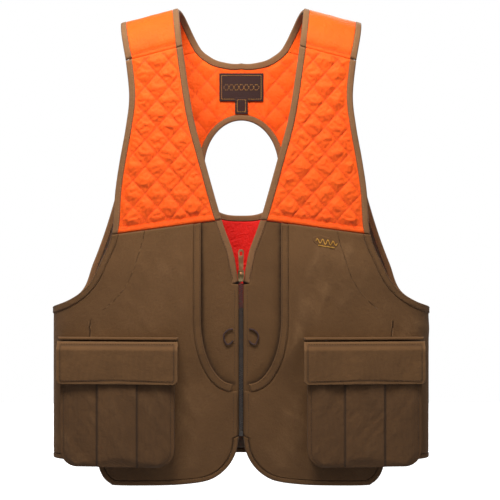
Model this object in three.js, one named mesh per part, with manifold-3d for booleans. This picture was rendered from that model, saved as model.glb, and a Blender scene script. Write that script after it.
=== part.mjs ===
// Front-loading upland hunting vest: quilted blaze orange shoulders, canvas body, bellows
// cargo pockets and a separating front zip. Millimetres, +Z up, front towards -Y.
// "right" and "left" are the wearer's: the wearer's right is -X.
//
// Every cloth piece is cut as a flat pattern and draped on a body form. The pattern plane is
// (u, v): u is the girth measured from the centre line, v the distance over the shoulder
// crest, negative down the front and positive down the back.
import * as THREE from "three";
import { mergeVertices } from "three/addons/utils/BufferGeometryUtils.js";
import Module from "manifold-3d";

const wasm = await Module();
wasm.setup();

// ---- Size ------------------------------------------------------------------------------
const HALF_WIDTH = 278; // side seam to centre line, under the cloth
const LENGTH = 720; // hem to shoulder crest
const CHEST_DEPTH = 60; // half the depth of the form at the chest
const HEM_DEPTH = 48; // half the depth of the form at the hem

// The pattern below is drawn for this size, and graded to the one above.
const BASE_HALF_WIDTH = 278;
const BASE_LENGTH = 720;
const wide = (x) => (x * HALF_WIDTH) / BASE_HALF_WIDTH;
const high = (z) => (z * LENGTH) / BASE_LENGTH;

// ---- Body form -------------------------------------------------------------------------
const FULL_DEPTH_Z = high(400); // height at which the form reaches its chest depth
const SECTION_POWER = 3.2; // superellipse power of the cross-section
const CREST_NECK_X = wide(94); // where the crest meets the neckline
const CREST_ARM_X = wide(183); // where the crest meets the armhole
const CREST_DROP = 23; // fall of the crest from neck to armhole
const ARCH_HEIGHT = high(60); // crest to shoulder seam
const CREST_FLAT = 8; // half the width of the flat on the crest

// ---- Cloth and trim --------------------------------------------------------------------
const CLOTH = 2; // canvas thickness
const QUILT = 4; // quilted shoulder thickness
const BAG_GAP = 5; // space between the inner shell and the game bag shell
const SEAM = 0.7; // clearance between two pieces sewn edge to edge
const BINDING = 9.5; // finished width of the edge binding
const BINDING_OVER = 1; // how far the binding stands proud of the edge it wraps
const FACING = 11; // width of the stitched facing on a game bag edge
const HEM_BAND = 8; // depth of the turned hem

// ---- Front -----------------------------------------------------------------------------
const YOKE_NECK_Z = 399; // lower edge of the quilted yoke beside the neckline
const YOKE_ARM_Z = 378; // and at the armhole
const ZIP_TOP_Z = 308;
const ZIP_BOTTOM_Z = 75;
const EDGE_X = 3.6; // front edge to centre line
const SHELL_EDGE_X = 5.2; // the same for the game bag shell
const MOUTH_X = 60; // straight run of the game bag mouth
const MOUTH_BEND_Z = 252; // where the mouth starts to curve in
const MOUTH_BEND_HEIGHT = 98;
const PLACKET = 8; // strip of inner shell beside the zip
const TAIL_ROUND_X = 66; // round of the tail beside the zip
const TAIL_OUTER_X = 185; // where the tail starts to round up to the side
const SIDE_HEM_Z = 38; // hem at the side seam and across the back
const UNDERARM_Z = 268;

// ---- Pocket ----------------------------------------------------------------------------
const POCKET_INNER_X = 99;
const POCKET_WIDTH = 172;
const POCKET_BOTTOM_Z = 31;
const POCKET_TOP_Z = 207;
const POCKET_CORNER = 26;
const POCKET_DEPTH = 24; // bellows depth at the top of the inner edge
const POCKET_TURN = 20; // how much nearer the body's middle the outer edge stands
const PLEAT_STEP = 1.4; // how far the middle third stands in front of the others
const GUSSET_WALL = 2;
const FLAP_TOP_Z = 219;
const FLAP_BOTTOM_Z = 155;
const FLAP_OVERHANG = 5; // flap past the pocket on each side
const FLAP_CORNER = 7;
const FLAP_STEP = 13; // how far behind the flap's face its sewn edge lies
const WELT_HEIGHT = 5;
const WELT_SET_BACK = 1.8; // welt's face behind the flap's sewn edge, so the flap can fold up
const TAPE_THICK = 1.2; // hook or loop tape
const TAPE_LENGTH = 104;
const TAPE_WIDTH = 16;
const LAYER_GAP = 0.4;

// ---- Back ------------------------------------------------------------------------------
const BACK_NECK_Z = 648;
const VENT_HALF_WIDTH = 58;
const VENT_TOP_Z = 558;
const VENT_MIDDLE_Z = 484;
const VENT_BOTTOM_Z = 409;
const VENT_LOW_POWER = 3; // squareness of the vent's lower half
const BACK_SEAM_Z = 430; // back yoke to lower back panel
const BAG_TOP_RISE = 1; // bag's top edge above the foot of the armhole binding
const BAG_BULGE = 17; // how far the game bag hangs out behind
const LABEL_WIDTH = 69;
const LABEL_HEIGHT = 44;
const LABEL_TOP_Z = 632;
const SIZE_TAB_WIDTH = 20;
const SIZE_TAB_LENGTH = 26;
const LABEL_THICK = 0.8;

// ---- Emblem on the wearer's left shoulder ----------------------------------------------
const EMBLEM_X = 128;
const EMBLEM_Z = 366;
const EMBLEM_HALF_WIDTH = 21;
const EMBLEM_HALF_HEIGHT = 9;
const EMBLEM_THICK = 0.9;

// ---- Zip -------------------------------------------------------------------------------
const TOOTH_PITCH = 6;
const TOOTH_GAP = 1; // tooth tip to centre line: the slider's post passes between the rows
const BEAD_INNER = 1.9;
const BEAD_OUTER = 2.7;
const TOOTH_HALF_DEPTH = 1.9;
const ZIP_TAPE_WIDTH = 12;
const ZIP_TAPE_THICK = 0.6;
const ZIP_TAPE_BACK = 1.5; // how far the tape lies behind the front edge
const SLIDER_LENGTH = 17;
const SLIDER_WIDTH = 10;
const SLIDER_PLATE = 1.2;
const SLIDER_CLEARANCE = 1.4;
const PIN_RADIUS = 0.8;
const EYE_RADIUS = 2;
const PULL_LENGTH = 36;
const PULL_WIDTH = 8.5;
const PULL_THICK = 1.4;
const BOX_HEIGHT = 8;
const BOX_WIDTH = 5.6;

// ---- Cord loops ------------------------------------------------------------------------
const CORD_DIAMETER = 2.4;
const LOOP_X = 12; // sewn ends to centre line
const LOOP_TOP_Z = 236;
const LOOP_DROP = 17; // between the two sewn ends
const LOOP_REACH = 14;
const LOOP_SAG = 6;

// ---- Materials -------------------------------------------------------------------------
const cloth = (colour, roughness = 0.9) =>
  new THREE.MeshStandardMaterial({ color: colour, roughness, metalness: 0 });
const ORANGE = cloth(0xfd5a12, 0.8);
const LINING = cloth(0xe0340c, 0.6);
const CANVAS = cloth(0x6b4f34);
const TAPE = cloth(0x7d6346);
const DARK_TAPE = cloth(0x241a12);
const CORD = cloth(0x3a1f18);
const LABEL_CLOTH = cloth(0x33201f);
const THREAD = cloth(0xb9892f, 0.5);
const TOOTH = new THREE.MeshStandardMaterial({ color: 0x1c1712, roughness: 0.4 });
const BRASS = new THREE.MeshStandardMaterial({ color: 0x8a7a55, roughness: 0.35, metalness: 1 });

// ---- Form geometry ---------------------------------------------------------------------
const SECTION_STEPS = 240;
const section = sectionTable();
const GIRTH = section.at(-1).girth; // centre line to side seam along the form
const ARCH_RUN = high(88); // pattern length from the crest's flat to the shoulder seam
const SEAM_V = CREST_FLAT + ARCH_RUN;

// Points of the cross-section with the girth up to each one.
function sectionTable() {
  const table = [];
  for (let i = 0; i <= SECTION_STEPS; i++) {
    const angle = (i / SECTION_STEPS) * (Math.PI / 2);
    const x = HALF_WIDTH * Math.sin(angle) ** (2 / SECTION_POWER);
    const share = Math.max(0, Math.cos(angle)) ** (2 / SECTION_POWER);
    const last = table.at(-1);
    const step = last ? Math.hypot(x - last.x, (share - last.share) * CHEST_DEPTH) : 0;
    table.push({ x, share, girth: last ? last.girth + step : 0 });
  }
  return table;
}

function lookUp(key, value, wanted) {
  const i = Math.max(1, section.findIndex((row) => row[key] >= value));
  const [low, over] = [section[i - 1], section[i]];
  const t = (value - low[key]) / (over[key] - low[key]);
  return low[wanted] + t * (over[wanted] - low[wanted]);
}

const girthAt = (x) => Math.sign(x) * lookUp("x", Math.min(Math.abs(x), HALF_WIDTH), "girth");
const widthAt = (u) => Math.sign(u) * lookUp("girth", Math.min(Math.abs(u), GIRTH), "x");
const crestAt = (x) =>
  LENGTH - ((Math.abs(x) - CREST_NECK_X) * CREST_DROP) / (CREST_ARM_X - CREST_NECK_X);
const smooth = (t) => THREE.MathUtils.smoothstep(t, 0, 1);
const TILT = (CHEST_DEPTH - HEM_DEPTH) / FULL_DEPTH_Z; // lean of the front below the yoke
const depthAt = (z) => HEM_DEPTH + TILT * THREE.MathUtils.clamp(z, 0, FULL_DEPTH_Z);

// The form's surface at pattern point (u, v).
function formPoint(u, v) {
  const x = widthAt(u);
  const share = lookUp("girth", Math.min(Math.abs(u), GIRTH), "share");
  const down = Math.abs(v);
  if (down <= CREST_FLAT) return new THREE.Vector3(x, v, crestAt(x));
  const turn = Math.min(1, (down - CREST_FLAT) / ARCH_RUN) * (Math.PI / 2);
  const z = crestAt(x) - ARCH_HEIGHT * (1 - Math.cos(turn)) - Math.max(0, down - SEAM_V);
  const flat = CREST_FLAT * Math.cos(turn) ** 2;
  const y = flat + (depthAt(z) * share - flat) * Math.sin(turn);
  return new THREE.Vector3(x, Math.sign(v) * y, z);
}

// A point lifted off the form along its outward normal.
function lifted(u, v, lift) {
  const here = formPoint(u, v);
  const inward = u >= 0 ? -1 : 1;
  const away = v >= 0 ? 1 : -1;
  const across = formPoint(u + inward, v).sub(here).multiplyScalar(inward);
  const down = formPoint(u, v + away).sub(here).multiplyScalar(away);
  const normal = across.cross(down).normalize();
  return here.addScaledVector(normal, lift);
}

// Pattern point of a place given by its front view, x and z, and the face it lies on.
function onForm(x, z, face) {
  const drop = crestAt(x) - z;
  const turn = Math.acos(THREE.MathUtils.clamp(1 - drop / ARCH_HEIGHT, -1, 1)) / (Math.PI / 2);
  const down = drop <= ARCH_HEIGHT ? CREST_FLAT + ARCH_RUN * turn : SEAM_V + drop - ARCH_HEIGHT;
  return new THREE.Vector2(girthAt(x), face * down);
}
// The same for a place on the base pattern, graded.
const front = (x, z) => onForm(wide(x), high(z), -1);
const back = (x, z) => onForm(wide(x), high(z), 1);
const heightOf = (p) => formPoint(p.x, p.y).z;

// ---- Curves in the pattern plane -------------------------------------------------------
const spline = (points, count) => new THREE.SplineCurve(points).getSpacedPoints(count);

// A curve's copy moved sideways, to the left of its direction when positive.
function offset(points, distance) {
  return points.map((p, i) => {
    const before = points[Math.max(0, i - 1)];
    const after = points[Math.min(points.length - 1, i + 1)];
    const along = after.clone().sub(before).normalize();
    return new THREE.Vector2(p.x - along.y * distance, p.y + along.x * distance);
  });
}

// Turned over for the other side and run the other way, so its left stays its left.
const mirrored = (points) => points.map((p) => new THREE.Vector2(-p.x, p.y)).reverse();

// Points evenly spaced between two, without the first and the last.
const between = (a, b, count) =>
  Array.from({ length: count }, (_, i) => a.clone().lerp(b, (i + 1) / (count + 1)));

const respaced = spline;

// The stretch of a curve where height(p) is positive, ending exactly at zero.
function clipped(points, height) {
  const kept = [];
  for (let i = 0; i < points.length; i++) {
    const here = height(points[i]);
    const last = i ? height(points[i - 1]) : here;
    if (i && here > 0 !== last > 0) {
      kept.push(points[i - 1].clone().lerp(points[i], last / (last - here)));
    }
    if (here > 0) kept.push(points[i]);
  }
  return kept;
}

// ---- Pattern ---------------------------------------------------------------------------
const bagTop = high(UNDERARM_Z) - BINDING + BAG_TOP_RISE;
const INSET = BINDING + SEAM;
const yokeEdge = (x) =>
  high(YOKE_NECK_Z) - (high(YOKE_NECK_Z - YOKE_ARM_Z) * (Math.abs(x) - wide(40))) / wide(154);
const overYoke = (p) => heightOf(p) - yokeEdge(widthAt(p.x)) - SEAM / 2;
const underYoke = (p) => yokeEdge(widthAt(p.x)) - SEAM / 2 - heightOf(p);
const edgeU = EDGE_X; // the form is flat there, so girth and x agree
const frontAt = (u, z) => new THREE.Vector2(u, onForm(widthAt(u), z, -1).y);
const backAt = (u, z) => new THREE.Vector2(u, onForm(widthAt(u), z, 1).y);

// Front neckline, shoulder seam down to the zip: the body is on its left.
const frontNeck = spline(
  [
    new THREE.Vector2(girthAt(wide(88)), -SEAM_V - SEAM), front(73, 562), front(55, 492),
    front(29, 400), front(12, 352), frontAt(edgeU + 0.4, high(ZIP_TOP_Z)),
  ],
  15,
);
// Front armhole, shoulder seam down to the underarm: the body is on its right.
const frontArm = spline(
  [
    new THREE.Vector2(girthAt(wide(173)), -SEAM_V - SEAM), front(168, 586), front(173, 540),
    front(182, 490), front(189, 442), front(194, 379), front(210, 337), front(228, 303),
    front(256, 280), new THREE.Vector2(GIRTH - SEAM, front(BASE_HALF_WIDTH, UNDERARM_Z).y),
  ],
  20,
);
// Neckline from the left front shoulder seam round the back of the neck: body on its right.
const neckSide = [
  new THREE.Vector2(girthAt(wide(88)), -SEAM_V),
  new THREE.Vector2(girthAt(wide(93)), -SEAM_V / 2),
  new THREE.Vector2(girthAt(CREST_NECK_X), 0),
  back(83, 707), back(66, 674), back(49, 658), back(30, 650),
];
const backNeck = spline([...neckSide, back(0, BACK_NECK_Z), ...mirrored(neckSide)], 34);
// Armhole from the front shoulder seam over the crest to the underarm: body on its left.
const backArm = spline(
  [
    new THREE.Vector2(girthAt(wide(173)), -SEAM_V),
    new THREE.Vector2(girthAt(CREST_ARM_X - 2), -SEAM_V / 2),
    new THREE.Vector2(girthAt(CREST_ARM_X), 0),
    new THREE.Vector2(girthAt(CREST_ARM_X - 2), SEAM_V / 2),
    new THREE.Vector2(girthAt(wide(174)), SEAM_V),
    back(170, 586), back(176, 540), back(186, 490), back(196, 442), back(213, 384),
    back(231, 334), back(250, 289), new THREE.Vector2(GIRTH - SEAM, back(BASE_HALF_WIDTH, UNDERARM_Z).y),
  ],
  28,
);
// A front edge's copy moved into the body, above or below the yoke's lower edge.
const neckUpper = (into) => respaced(clipped(offset(frontNeck, into), overYoke), 9);
const neckLower = (into) => respaced(clipped(offset(frontNeck, into), underYoke), 5);
const armUpper = (into) => respaced(clipped(offset(frontArm, -into), overYoke), 11);
const armLower = (into) => respaced(clipped(offset(frontArm, -into), underYoke), 10);
const neckInset = offset(backNeck, -INSET);
const armInset = offset(backArm, INSET);
neckInset[0].setY(-SEAM_V);
neckInset.at(-1).setY(-SEAM_V);
armInset[0].setY(-SEAM_V);

// The game bag's mouth: straight down from the yoke, then a quarter ellipse to the zip.
const mouthTop = frontAt(girthAt(wide(MOUTH_X)), yokeEdge(wide(MOUTH_X)) - SEAM / 2);
const mouthStart = front(MOUTH_X, MOUTH_BEND_Z);
const mouthBend = Array.from({ length: 10 }, (_, i) => {
  const angle = ((i + 1) / 10) * (Math.PI / 2);
  const inner = EDGE_X + PLACKET;
  return front(
    inner + (MOUTH_X - inner) * Math.cos(angle),
    MOUTH_BEND_Z - MOUTH_BEND_HEIGHT * Math.sin(angle),
  );
});
const mouth = [mouthTop, ...between(mouthTop, mouthStart, 2), mouthStart, ...mouthBend];

// Hem, zip round the tail to the side seam: the body is on its left.
const tail = Array.from({ length: 7 }, (_, i) => {
  const angle = (i / 6) * (Math.PI / 2);
  const x = EDGE_X + wide(TAIL_ROUND_X) * (1 - Math.cos(angle));
  return frontAt(girthAt(x), high(ZIP_BOTTOM_Z - (ZIP_BOTTOM_Z - 5) * Math.sin(angle)));
});
const tailEnd = Array.from({ length: 4 }, (_, i) => {
  const angle = (i / 4) * (Math.PI / 2);
  return front(TAIL_OUTER_X + 30 * Math.sin(angle), SIDE_HEM_Z * (1 - Math.cos(angle)));
});
const sideHem = [0, 0.24, 0.43, 0.6, 0.74, 0.87, 1].map((t) => {
  const start = girthAt(wide(TAIL_OUTER_X + 37));
  return frontAt(start + t * (GIRTH - SEAM - start), high(SIDE_HEM_Z - 5 * (1 - t) ** 3));
});
const hem = [...tail, front((EDGE_X + TAIL_ROUND_X + TAIL_OUTER_X) / 2, 2.5), ...tailEnd, ...sideHem];
const hemTop = hem[0].y + 1;
const hemBand = offset(hem, HEM_BAND);
hemBand[0].set(edgeU + HEM_BAND, hem[0].y);
const hemInset = [
  new THREE.Vector2(edgeU, hemTop),
  new THREE.Vector2(edgeU + HEM_BAND + SEAM, hemTop),
  ...offset(hem, HEM_BAND + SEAM).slice(1),
];
hemInset.at(-1).setX(GIRTH - SEAM);

// ---- Solids ----------------------------------------------------------------------------
// A closed slab between two grids of points with the same number of rows and columns. A ring
// joins its last row to its first.
function slab(inner, outer, ring = false) {
  const [height, width] = [inner.length, inner[0].length];
  const at = (layer, i, j) => (layer * height + (i % height)) * width + j;
  const faces = [];
  const quad = (a, b, c, d) => faces.push(a, b, c, a, c, d);
  const rows = ring ? height : height - 1;
  for (let i = 0; i < rows; i++) {
    for (let j = 0; j < width - 1; j++) {
      quad(at(1, i, j), at(1, i + 1, j), at(1, i + 1, j + 1), at(1, i, j + 1));
      quad(at(0, i, j), at(0, i, j + 1), at(0, i + 1, j + 1), at(0, i + 1, j));
    }
    quad(at(0, i, 0), at(0, i + 1, 0), at(1, i + 1, 0), at(1, i, 0));
    quad(at(0, i + 1, width - 1), at(0, i, width - 1), at(1, i, width - 1), at(1, i + 1, width - 1));
  }
  for (let j = 0; !ring && j < width - 1; j++) {
    quad(at(0, 0, j + 1), at(0, 0, j), at(1, 0, j), at(1, 0, j + 1));
    quad(at(0, rows, j), at(0, rows, j + 1), at(1, rows, j + 1), at(1, rows, j));
  }
  const points = [...inner.flat(), ...outer.flat()];
  return facingOut(new THREE.BufferGeometry().setFromPoints(points).setIndex(faces));
}

// Turns the faces round if the volume they hold comes out negative.
function facingOut(geometry) {
  const p = geometry.getAttribute("position");
  const index = geometry.index.array;
  const corner = [0, 1, 2].map(() => new THREE.Vector3());
  let volume = 0;
  for (let i = 0; i < index.length; i += 3) {
    corner.forEach((c, k) => c.fromBufferAttribute(p, index[i + k]));
    volume += corner[0].dot(corner[1].clone().cross(corner[2]));
  }
  for (let i = 0; volume < 0 && i < index.length; i += 3) {
    [index[i + 1], index[i + 2]] = [index[i + 2], index[i + 1]];
  }
  return geometry;
}

// A cloth piece from rows of pattern points, between two lifts off the form.
function draped(rows, inner, outer, ring = false) {
  const layer = (lift) =>
    rows.map((row) => row.map((p) => lifted(p.x, p.y, lift instanceof Function ? lift(p) : lift)));
  return slab(layer(inner), layer(outer), ring);
}

// Rows of points filling four edges: top and bottom run from left to right.
function patch(top, bottom, left, right) {
  const [columns, rows] = [top.length - 1, left.length - 1];
  return left.map((_, i) =>
    top.map((__, j) => {
      const [s, t] = [j / columns, i / rows];
      const sides = left[i].clone().lerp(right[i], s);
      const ends = top[j].clone().lerp(bottom[j], t);
      const corners = left[0].clone().lerp(right[0], s).lerp(left[rows].clone().lerp(right[rows], s), t);
      return sides.add(ends).sub(corners);
    }),
  );
}

// Rows across a strip from one curve to another.
const across = (near, far) => near.map((p, i) => [p, far[i]]);

function solid(geometry) {
  const g = geometry.clone();
  g.deleteAttribute("normal");
  g.deleteAttribute("uv");
  const merged = mergeVertices(g, 1e-3);
  return new wasm.Manifold(
    new wasm.Mesh({
      numProp: 3,
      vertProperties: merged.getAttribute("position").array,
      triVerts: new Uint32Array(merged.index.array),
    }),
  );
}

function geometryOf(manifold) {
  const mesh = manifold.getMesh();
  return new THREE.BufferGeometry()
    .setAttribute("position", new THREE.BufferAttribute(mesh.vertProperties, 3))
    .setIndex(new THREE.BufferAttribute(mesh.triVerts, 1));
}
const joined = (...parts) => geometryOf(parts.map(solid).reduce((a, b) => a.add(b)));
const cut = (whole, ...tools) =>
  geometryOf(tools.map(solid).reduce((a, b) => a.subtract(b), solid(whole)));

const box = (width, depth, height, x, y, z) =>
  new THREE.BoxGeometry(width, depth, height).translate(x, y, z);

// A flat outline in the XZ plane, thick in Y from front to front + depth.
function plate(shape, depth, y) {
  return new THREE.ExtrudeGeometry(shape, { depth, bevelEnabled: false })
    .rotateX(Math.PI / 2)
    .translate(0, y + depth, 0);
}

// ---- Assembly --------------------------------------------------------------------------
const vest = new THREE.Group();
function add(name, geometry, material, parent = vest) {
  const mesh = new THREE.Mesh(geometry, material);
  mesh.name = name;
  parent.add(mesh);
  return mesh;
}

// Rows of a +X piece turned over for the wearer's right.
const onSide = (side, rows) =>
  side > 0 ? rows : rows.map((row) => row.map((p) => new THREE.Vector2(-p.x, p.y)));

const QUILT_BINDING = [-BINDING_OVER, QUILT + BINDING_OVER];
const CLOTH_BINDING = [-BINDING_OVER, CLOTH + BINDING_OVER];
const BAG_IN = CLOTH + BAG_GAP;
const BAG_OUT = BAG_IN + CLOTH;

// The game bag shell closes up to the inner shell under the yoke.
const SHELL_BLEND = 60;
const SHELL_TOP_GAP = 1.2;
function shellLift(lift) {
  return (p) => {
    const below = yokeEdge(widthAt(p.x)) - heightOf(p);
    return lift - (BAG_GAP - SHELL_TOP_GAP) * (1 - smooth(below / SHELL_BLEND));
  };
}

// ---- Shoulders and back ----------------------------------------------------------------
function frontYoke(side) {
  const [left, right] = [respaced(neckUpper(INSET), 11), armUpper(INSET)];
  left[0].setY(-SEAM_V - SEAM);
  right[0].setY(-SEAM_V - SEAM);
  const rows = left.map((p, i) => [p, ...between(p, right[i], 3), right[i]]);
  const foot = rows.at(-1);
  foot.forEach((p) => p.setY(frontAt(p.x, yokeEdge(widthAt(p.x)) + SEAM / 2).y));
  return draped(onSide(side, rows), 0, QUILT);
}

// The u at which a curve first crosses v.
function crossing(points, v) {
  const i = points.findIndex((p, k) => k && p.y >= v !== points[k - 1].y >= v);
  const [a, b] = [points[i - 1], points[i]];
  return a.x + ((b.x - a.x) * (v - a.y)) / (b.y - a.y);
}

// Shoulder saddle: the plain strip over the crest, from front seam to back seam.
function saddle(side) {
  const stops = [-1, -0.75, -0.5, -0.25, 0].map((t) => t * (ARCH_RUN - SEAM) - CREST_FLAT);
  const rows = [...stops, ...stops.map((v) => -v).reverse()].map((v) => {
    const near = new THREE.Vector2(crossing(neckInset, v), v);
    const far = new THREE.Vector2(crossing(armInset, v), v);
    return [near, ...between(near, far, 3), far];
  });
  return draped(onSide(side, rows), 0, QUILT);
}

// The vent's outline from its right foot over the top to its left: half an ellipse above, a
// squarer half below.
function ventOutline(grow, count) {
  return Array.from({ length: count }, (_, i) => {
    const angle = (i / count) * 2 * Math.PI - Math.PI / 2;
    const [c, s] = [Math.cos(angle), Math.sin(angle)];
    const power = s < 0 ? 2 / VENT_LOW_POWER : 1;
    const rise = s < 0 ? VENT_MIDDLE_Z - VENT_BOTTOM_Z : VENT_TOP_Z - VENT_MIDDLE_Z;
    const x = (wide(VENT_HALF_WIDTH) + grow) * Math.sign(c) * Math.abs(c) ** power;
    const z = high(VENT_MIDDLE_Z) + (high(rise) + grow) * Math.sign(s) * Math.abs(s) ** power;
    return onForm(x, z, 1);
  });
}
const backSeam = high(BACK_SEAM_Z);
const overSeam = (p) => heightOf(p) - backSeam - SEAM / 2;
const underSeam = (p) => backSeam - SEAM / 2 - heightOf(p);

// An arch from the arm's foot on one side to the other, round the vent.
function backYoke() {
  const v = SEAM_V + SEAM;
  const arm = clipped(armInset.filter((p) => p.y > v), overSeam).reverse();
  const armTop = new THREE.Vector2(crossing(armInset, v), v);
  const neckTop = new THREE.Vector2(crossing(neckInset, v), v);
  const neck = neckInset.filter((p) => p.y > v + 1 && p.x > 1);
  const half = [...arm, armTop, ...between(armTop, neckTop, 2), neckTop, ...neck];
  const middle = neckInset.filter((p) => Math.abs(p.x) <= 1);
  const outer = [...half, ...middle, ...mirrored(half)];
  const inner = respaced(clipped(ventOutline(INSET, 60), overSeam), outer.length - 1);
  return draped(outer.map((p, i) => [p, ...between(p, inner[i], 3), inner[i]]), 0, QUILT);
}

function backPanel() {
  const low = high(SIDE_HEM_Z) + HEM_BAND + SEAM;
  const arm = clipped(armInset.filter((p) => p.y > SEAM_V), underSeam);
  const side = GIRTH - SEAM;
  const corner = backAt(side, low);
  const sideTop = new THREE.Vector2(side, arm.at(-1).y + SEAM);
  const right = [...arm.slice(0, -1), sideTop, ...between(sideTop, corner, 5), corner];
  const left = right.map((p) => new THREE.Vector2(-p.x, p.y));
  const vent = ventOutline(INSET, 60);
  const turned = [...vent.slice(30), ...vent.slice(0, 30)];
  const notch = respaced(clipped(turned, underSeam), 12).sort((a, b) => a.x - b.x);
  const top = [
    left[0], ...between(left[0], notch[0], 3), ...notch, ...between(notch.at(-1), right[0], 3), right[0],
  ];
  const bottom = top.map((_, i) =>
    backAt(side * Math.sin((i / (top.length - 1) - 0.5) * Math.PI), low),
  );
  return draped(patch(top, bottom, left, right), 0, CLOTH);
}

// The game bag's fullness: none at its sides, most low down in the middle of the back.
function bagLift(lift) {
  return (p) => {
    const z = heightOf(p);
    const across = smooth(1.35 * (1 - Math.abs(p.x) / GIRTH));
    const fall = smooth((bagTop - z) / high(90));
    return lift + BAG_BULGE * across * (0.25 + 0.75 * fall) * smooth((z + 60) / high(150));
  };
}
const bagColumns = [-1, -0.96, -0.9, -0.83, -0.74, -0.6, -0.4, -0.2, 0];
const acrossBack = [...bagColumns, ...bagColumns.slice(0, -1).map((k) => -k).reverse()];
const backRows = (zs) => zs.map((z) => acrossBack.map((k) => backAt(k * (GIRTH - SEAM), z)));

function gameBag() {
  const [low, top] = [high(SIDE_HEM_Z) + HEM_BAND + SEAM, bagTop - INSET];
  const zs = [0, 0.2, 0.4, 0.6, 0.8, 1].map((t) => low + t * (top - low));
  return draped(backRows(zs), bagLift(BAG_IN), bagLift(BAG_OUT));
}
function bagBinding() {
  const rows = backRows([bagTop - BINDING, bagTop]);
  return draped(rows, bagLift(BAG_IN - BINDING_OVER), bagLift(BAG_OUT + BINDING_OVER));
}
// The back hem closes the bottom of the game bag.
const backHem = () =>
  draped(backRows([high(SIDE_HEM_Z), high(SIDE_HEM_Z) + HEM_BAND]), 0, bagLift(BAG_OUT));

// ---- Front shells ----------------------------------------------------------------------
// Both shells share their side and hem edges.
const sideTop = (points) => new THREE.Vector2(GIRTH - SEAM, points.at(-1).y);
const shellTail = hemInset.slice(1, tail.length + 1);
const shellHem = hemInset.slice(tail.length);

function shell(inner, arm) {
  const side = sideTop(arm);
  const corner = hemInset.at(-1);
  const left = [...inner, ...shellTail];
  const right = [...arm.slice(0, -1), side];
  right.push(...between(side, corner, left.length - right.length - 1), corner);
  const bottom = shellHem;
  const [a, b] = [left[0], right[0]];
  const span = bottom.at(-1).x - bottom[0].x;
  const top = bottom.map((p) => {
    const u = a.x + ((b.x - a.x) * (p.x - bottom[0].x)) / span;
    return frontAt(u, yokeEdge(widthAt(u)) - SEAM / 2);
  });
  return patch([a, ...top.slice(1, -1), b], bottom, left, right);
}

// Inner shell: yoke to hem, neckline and front edge to side seam.
function frontBase(side) {
  const neck = neckLower(INSET);
  const zipTop = frontAt(edgeU, high(ZIP_TOP_Z) - BINDING / 2);
  neck[0].setY(frontAt(neck[0].x, yokeEdge(widthAt(neck[0].x)) - SEAM / 2).y);
  const foot = new THREE.Vector2(edgeU, hemTop);
  const inner = [...neck, zipTop, ...between(zipTop, foot, 5), foot];
  const rows = shell(inner, armLower(INSET));
  return draped(onSide(side, rows), 0, CLOTH);
}

// Outer shell: the game bag panel behind the curved mouth.
function frontOuter(side) {
  const edge = offset(mouth, FACING + 2 * SEAM);
  edge[0].setY(frontAt(edge[0].x, yokeEdge(widthAt(edge[0].x)) - SEAM / 2).y);
  const top = new THREE.Vector2(SHELL_EDGE_X, edge.at(-1).y - 1);
  const foot = new THREE.Vector2(SHELL_EDGE_X, hemTop);
  const inner = [...edge, top, ...between(top, foot, 1), foot];
  const rows = shell(inner, armLower(FACING + SEAM));
  return draped(onSide(side, rows), shellLift(BAG_IN), shellLift(BAG_OUT));
}

// ---- Pocket ----------------------------------------------------------------------------
const POCKET_OUTER_X = POCKET_INNER_X + POCKET_WIDTH;
const POCKET_PLANE = depthAt(POCKET_TOP_Z) + BAG_OUT + POCKET_DEPTH;

// How far in front of the middle the game bag shell's face lies at x and z.
function bodyFront(x, z) {
  let u = girthAt(x);
  for (let i = 0; i < 12; i++) u += x - lifted(u, frontAt(u, z).y, BAG_OUT).x;
  return -lifted(u, frontAt(u, z).y, BAG_OUT).y;
}
// How far in front of the middle the inner face of the pocket's front lies at x.
const pocketPlane = (x) => POCKET_PLANE - (POCKET_TURN * (x - POCKET_INNER_X)) / POCKET_WIDTH;

// A grid of points on a pocket layer, from rows of (x, z), set off the pocket's plane.
const pocketLayer = (side, rows, off) =>
  rows.map((row) => row.map((p) => new THREE.Vector3(side * p.x, -(pocketPlane(p.x) + off(p)), p.y)));
const pocketPiece = (side, rows, near, far) =>
  slab(pocketLayer(side, rows, near), pocketLayer(side, rows, far));

// Rows of a rectangle with two rounded lower corners.
function roundedRows(x0, x1, z0, z1, radius, shares, heights) {
  const rounds = [0, 0.1, 0.3, 0.6].map((t) => z0 + t * radius);
  return [...rounds, ...heights.map((t) => z0 + radius + t * (z1 - z0 - radius))].map((z) => {
    const into = Math.max(0, z0 + radius - z);
    const cornerCut = radius - Math.sqrt(radius ** 2 - into ** 2);
    return shares.map((s) => new THREE.Vector2(x0 + cornerCut + s * (x1 - x0 - 2 * cornerCut), z));
  });
}
const PLEATS = [0, 0.17, 0.31, 0.345, 0.5, 0.655, 0.69, 0.83, 1];
function pocketFront(side) {
  const rows = roundedRows(
    POCKET_INNER_X, POCKET_OUTER_X, POCKET_BOTTOM_Z, POCKET_TOP_Z, POCKET_CORNER, PLEATS, [0, 0.5, 1],
  );
  const pleat = rows.flat().reduce((map, p, i) => {
    const k = i % PLEATS.length;
    return map.set(p, k >= 3 && k <= 5 ? PLEAT_STEP : 0);
  }, new Map());
  return pocketPiece(side, rows, (p) => pleat.get(p), (p) => pleat.get(p) + CLOTH);
}

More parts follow.
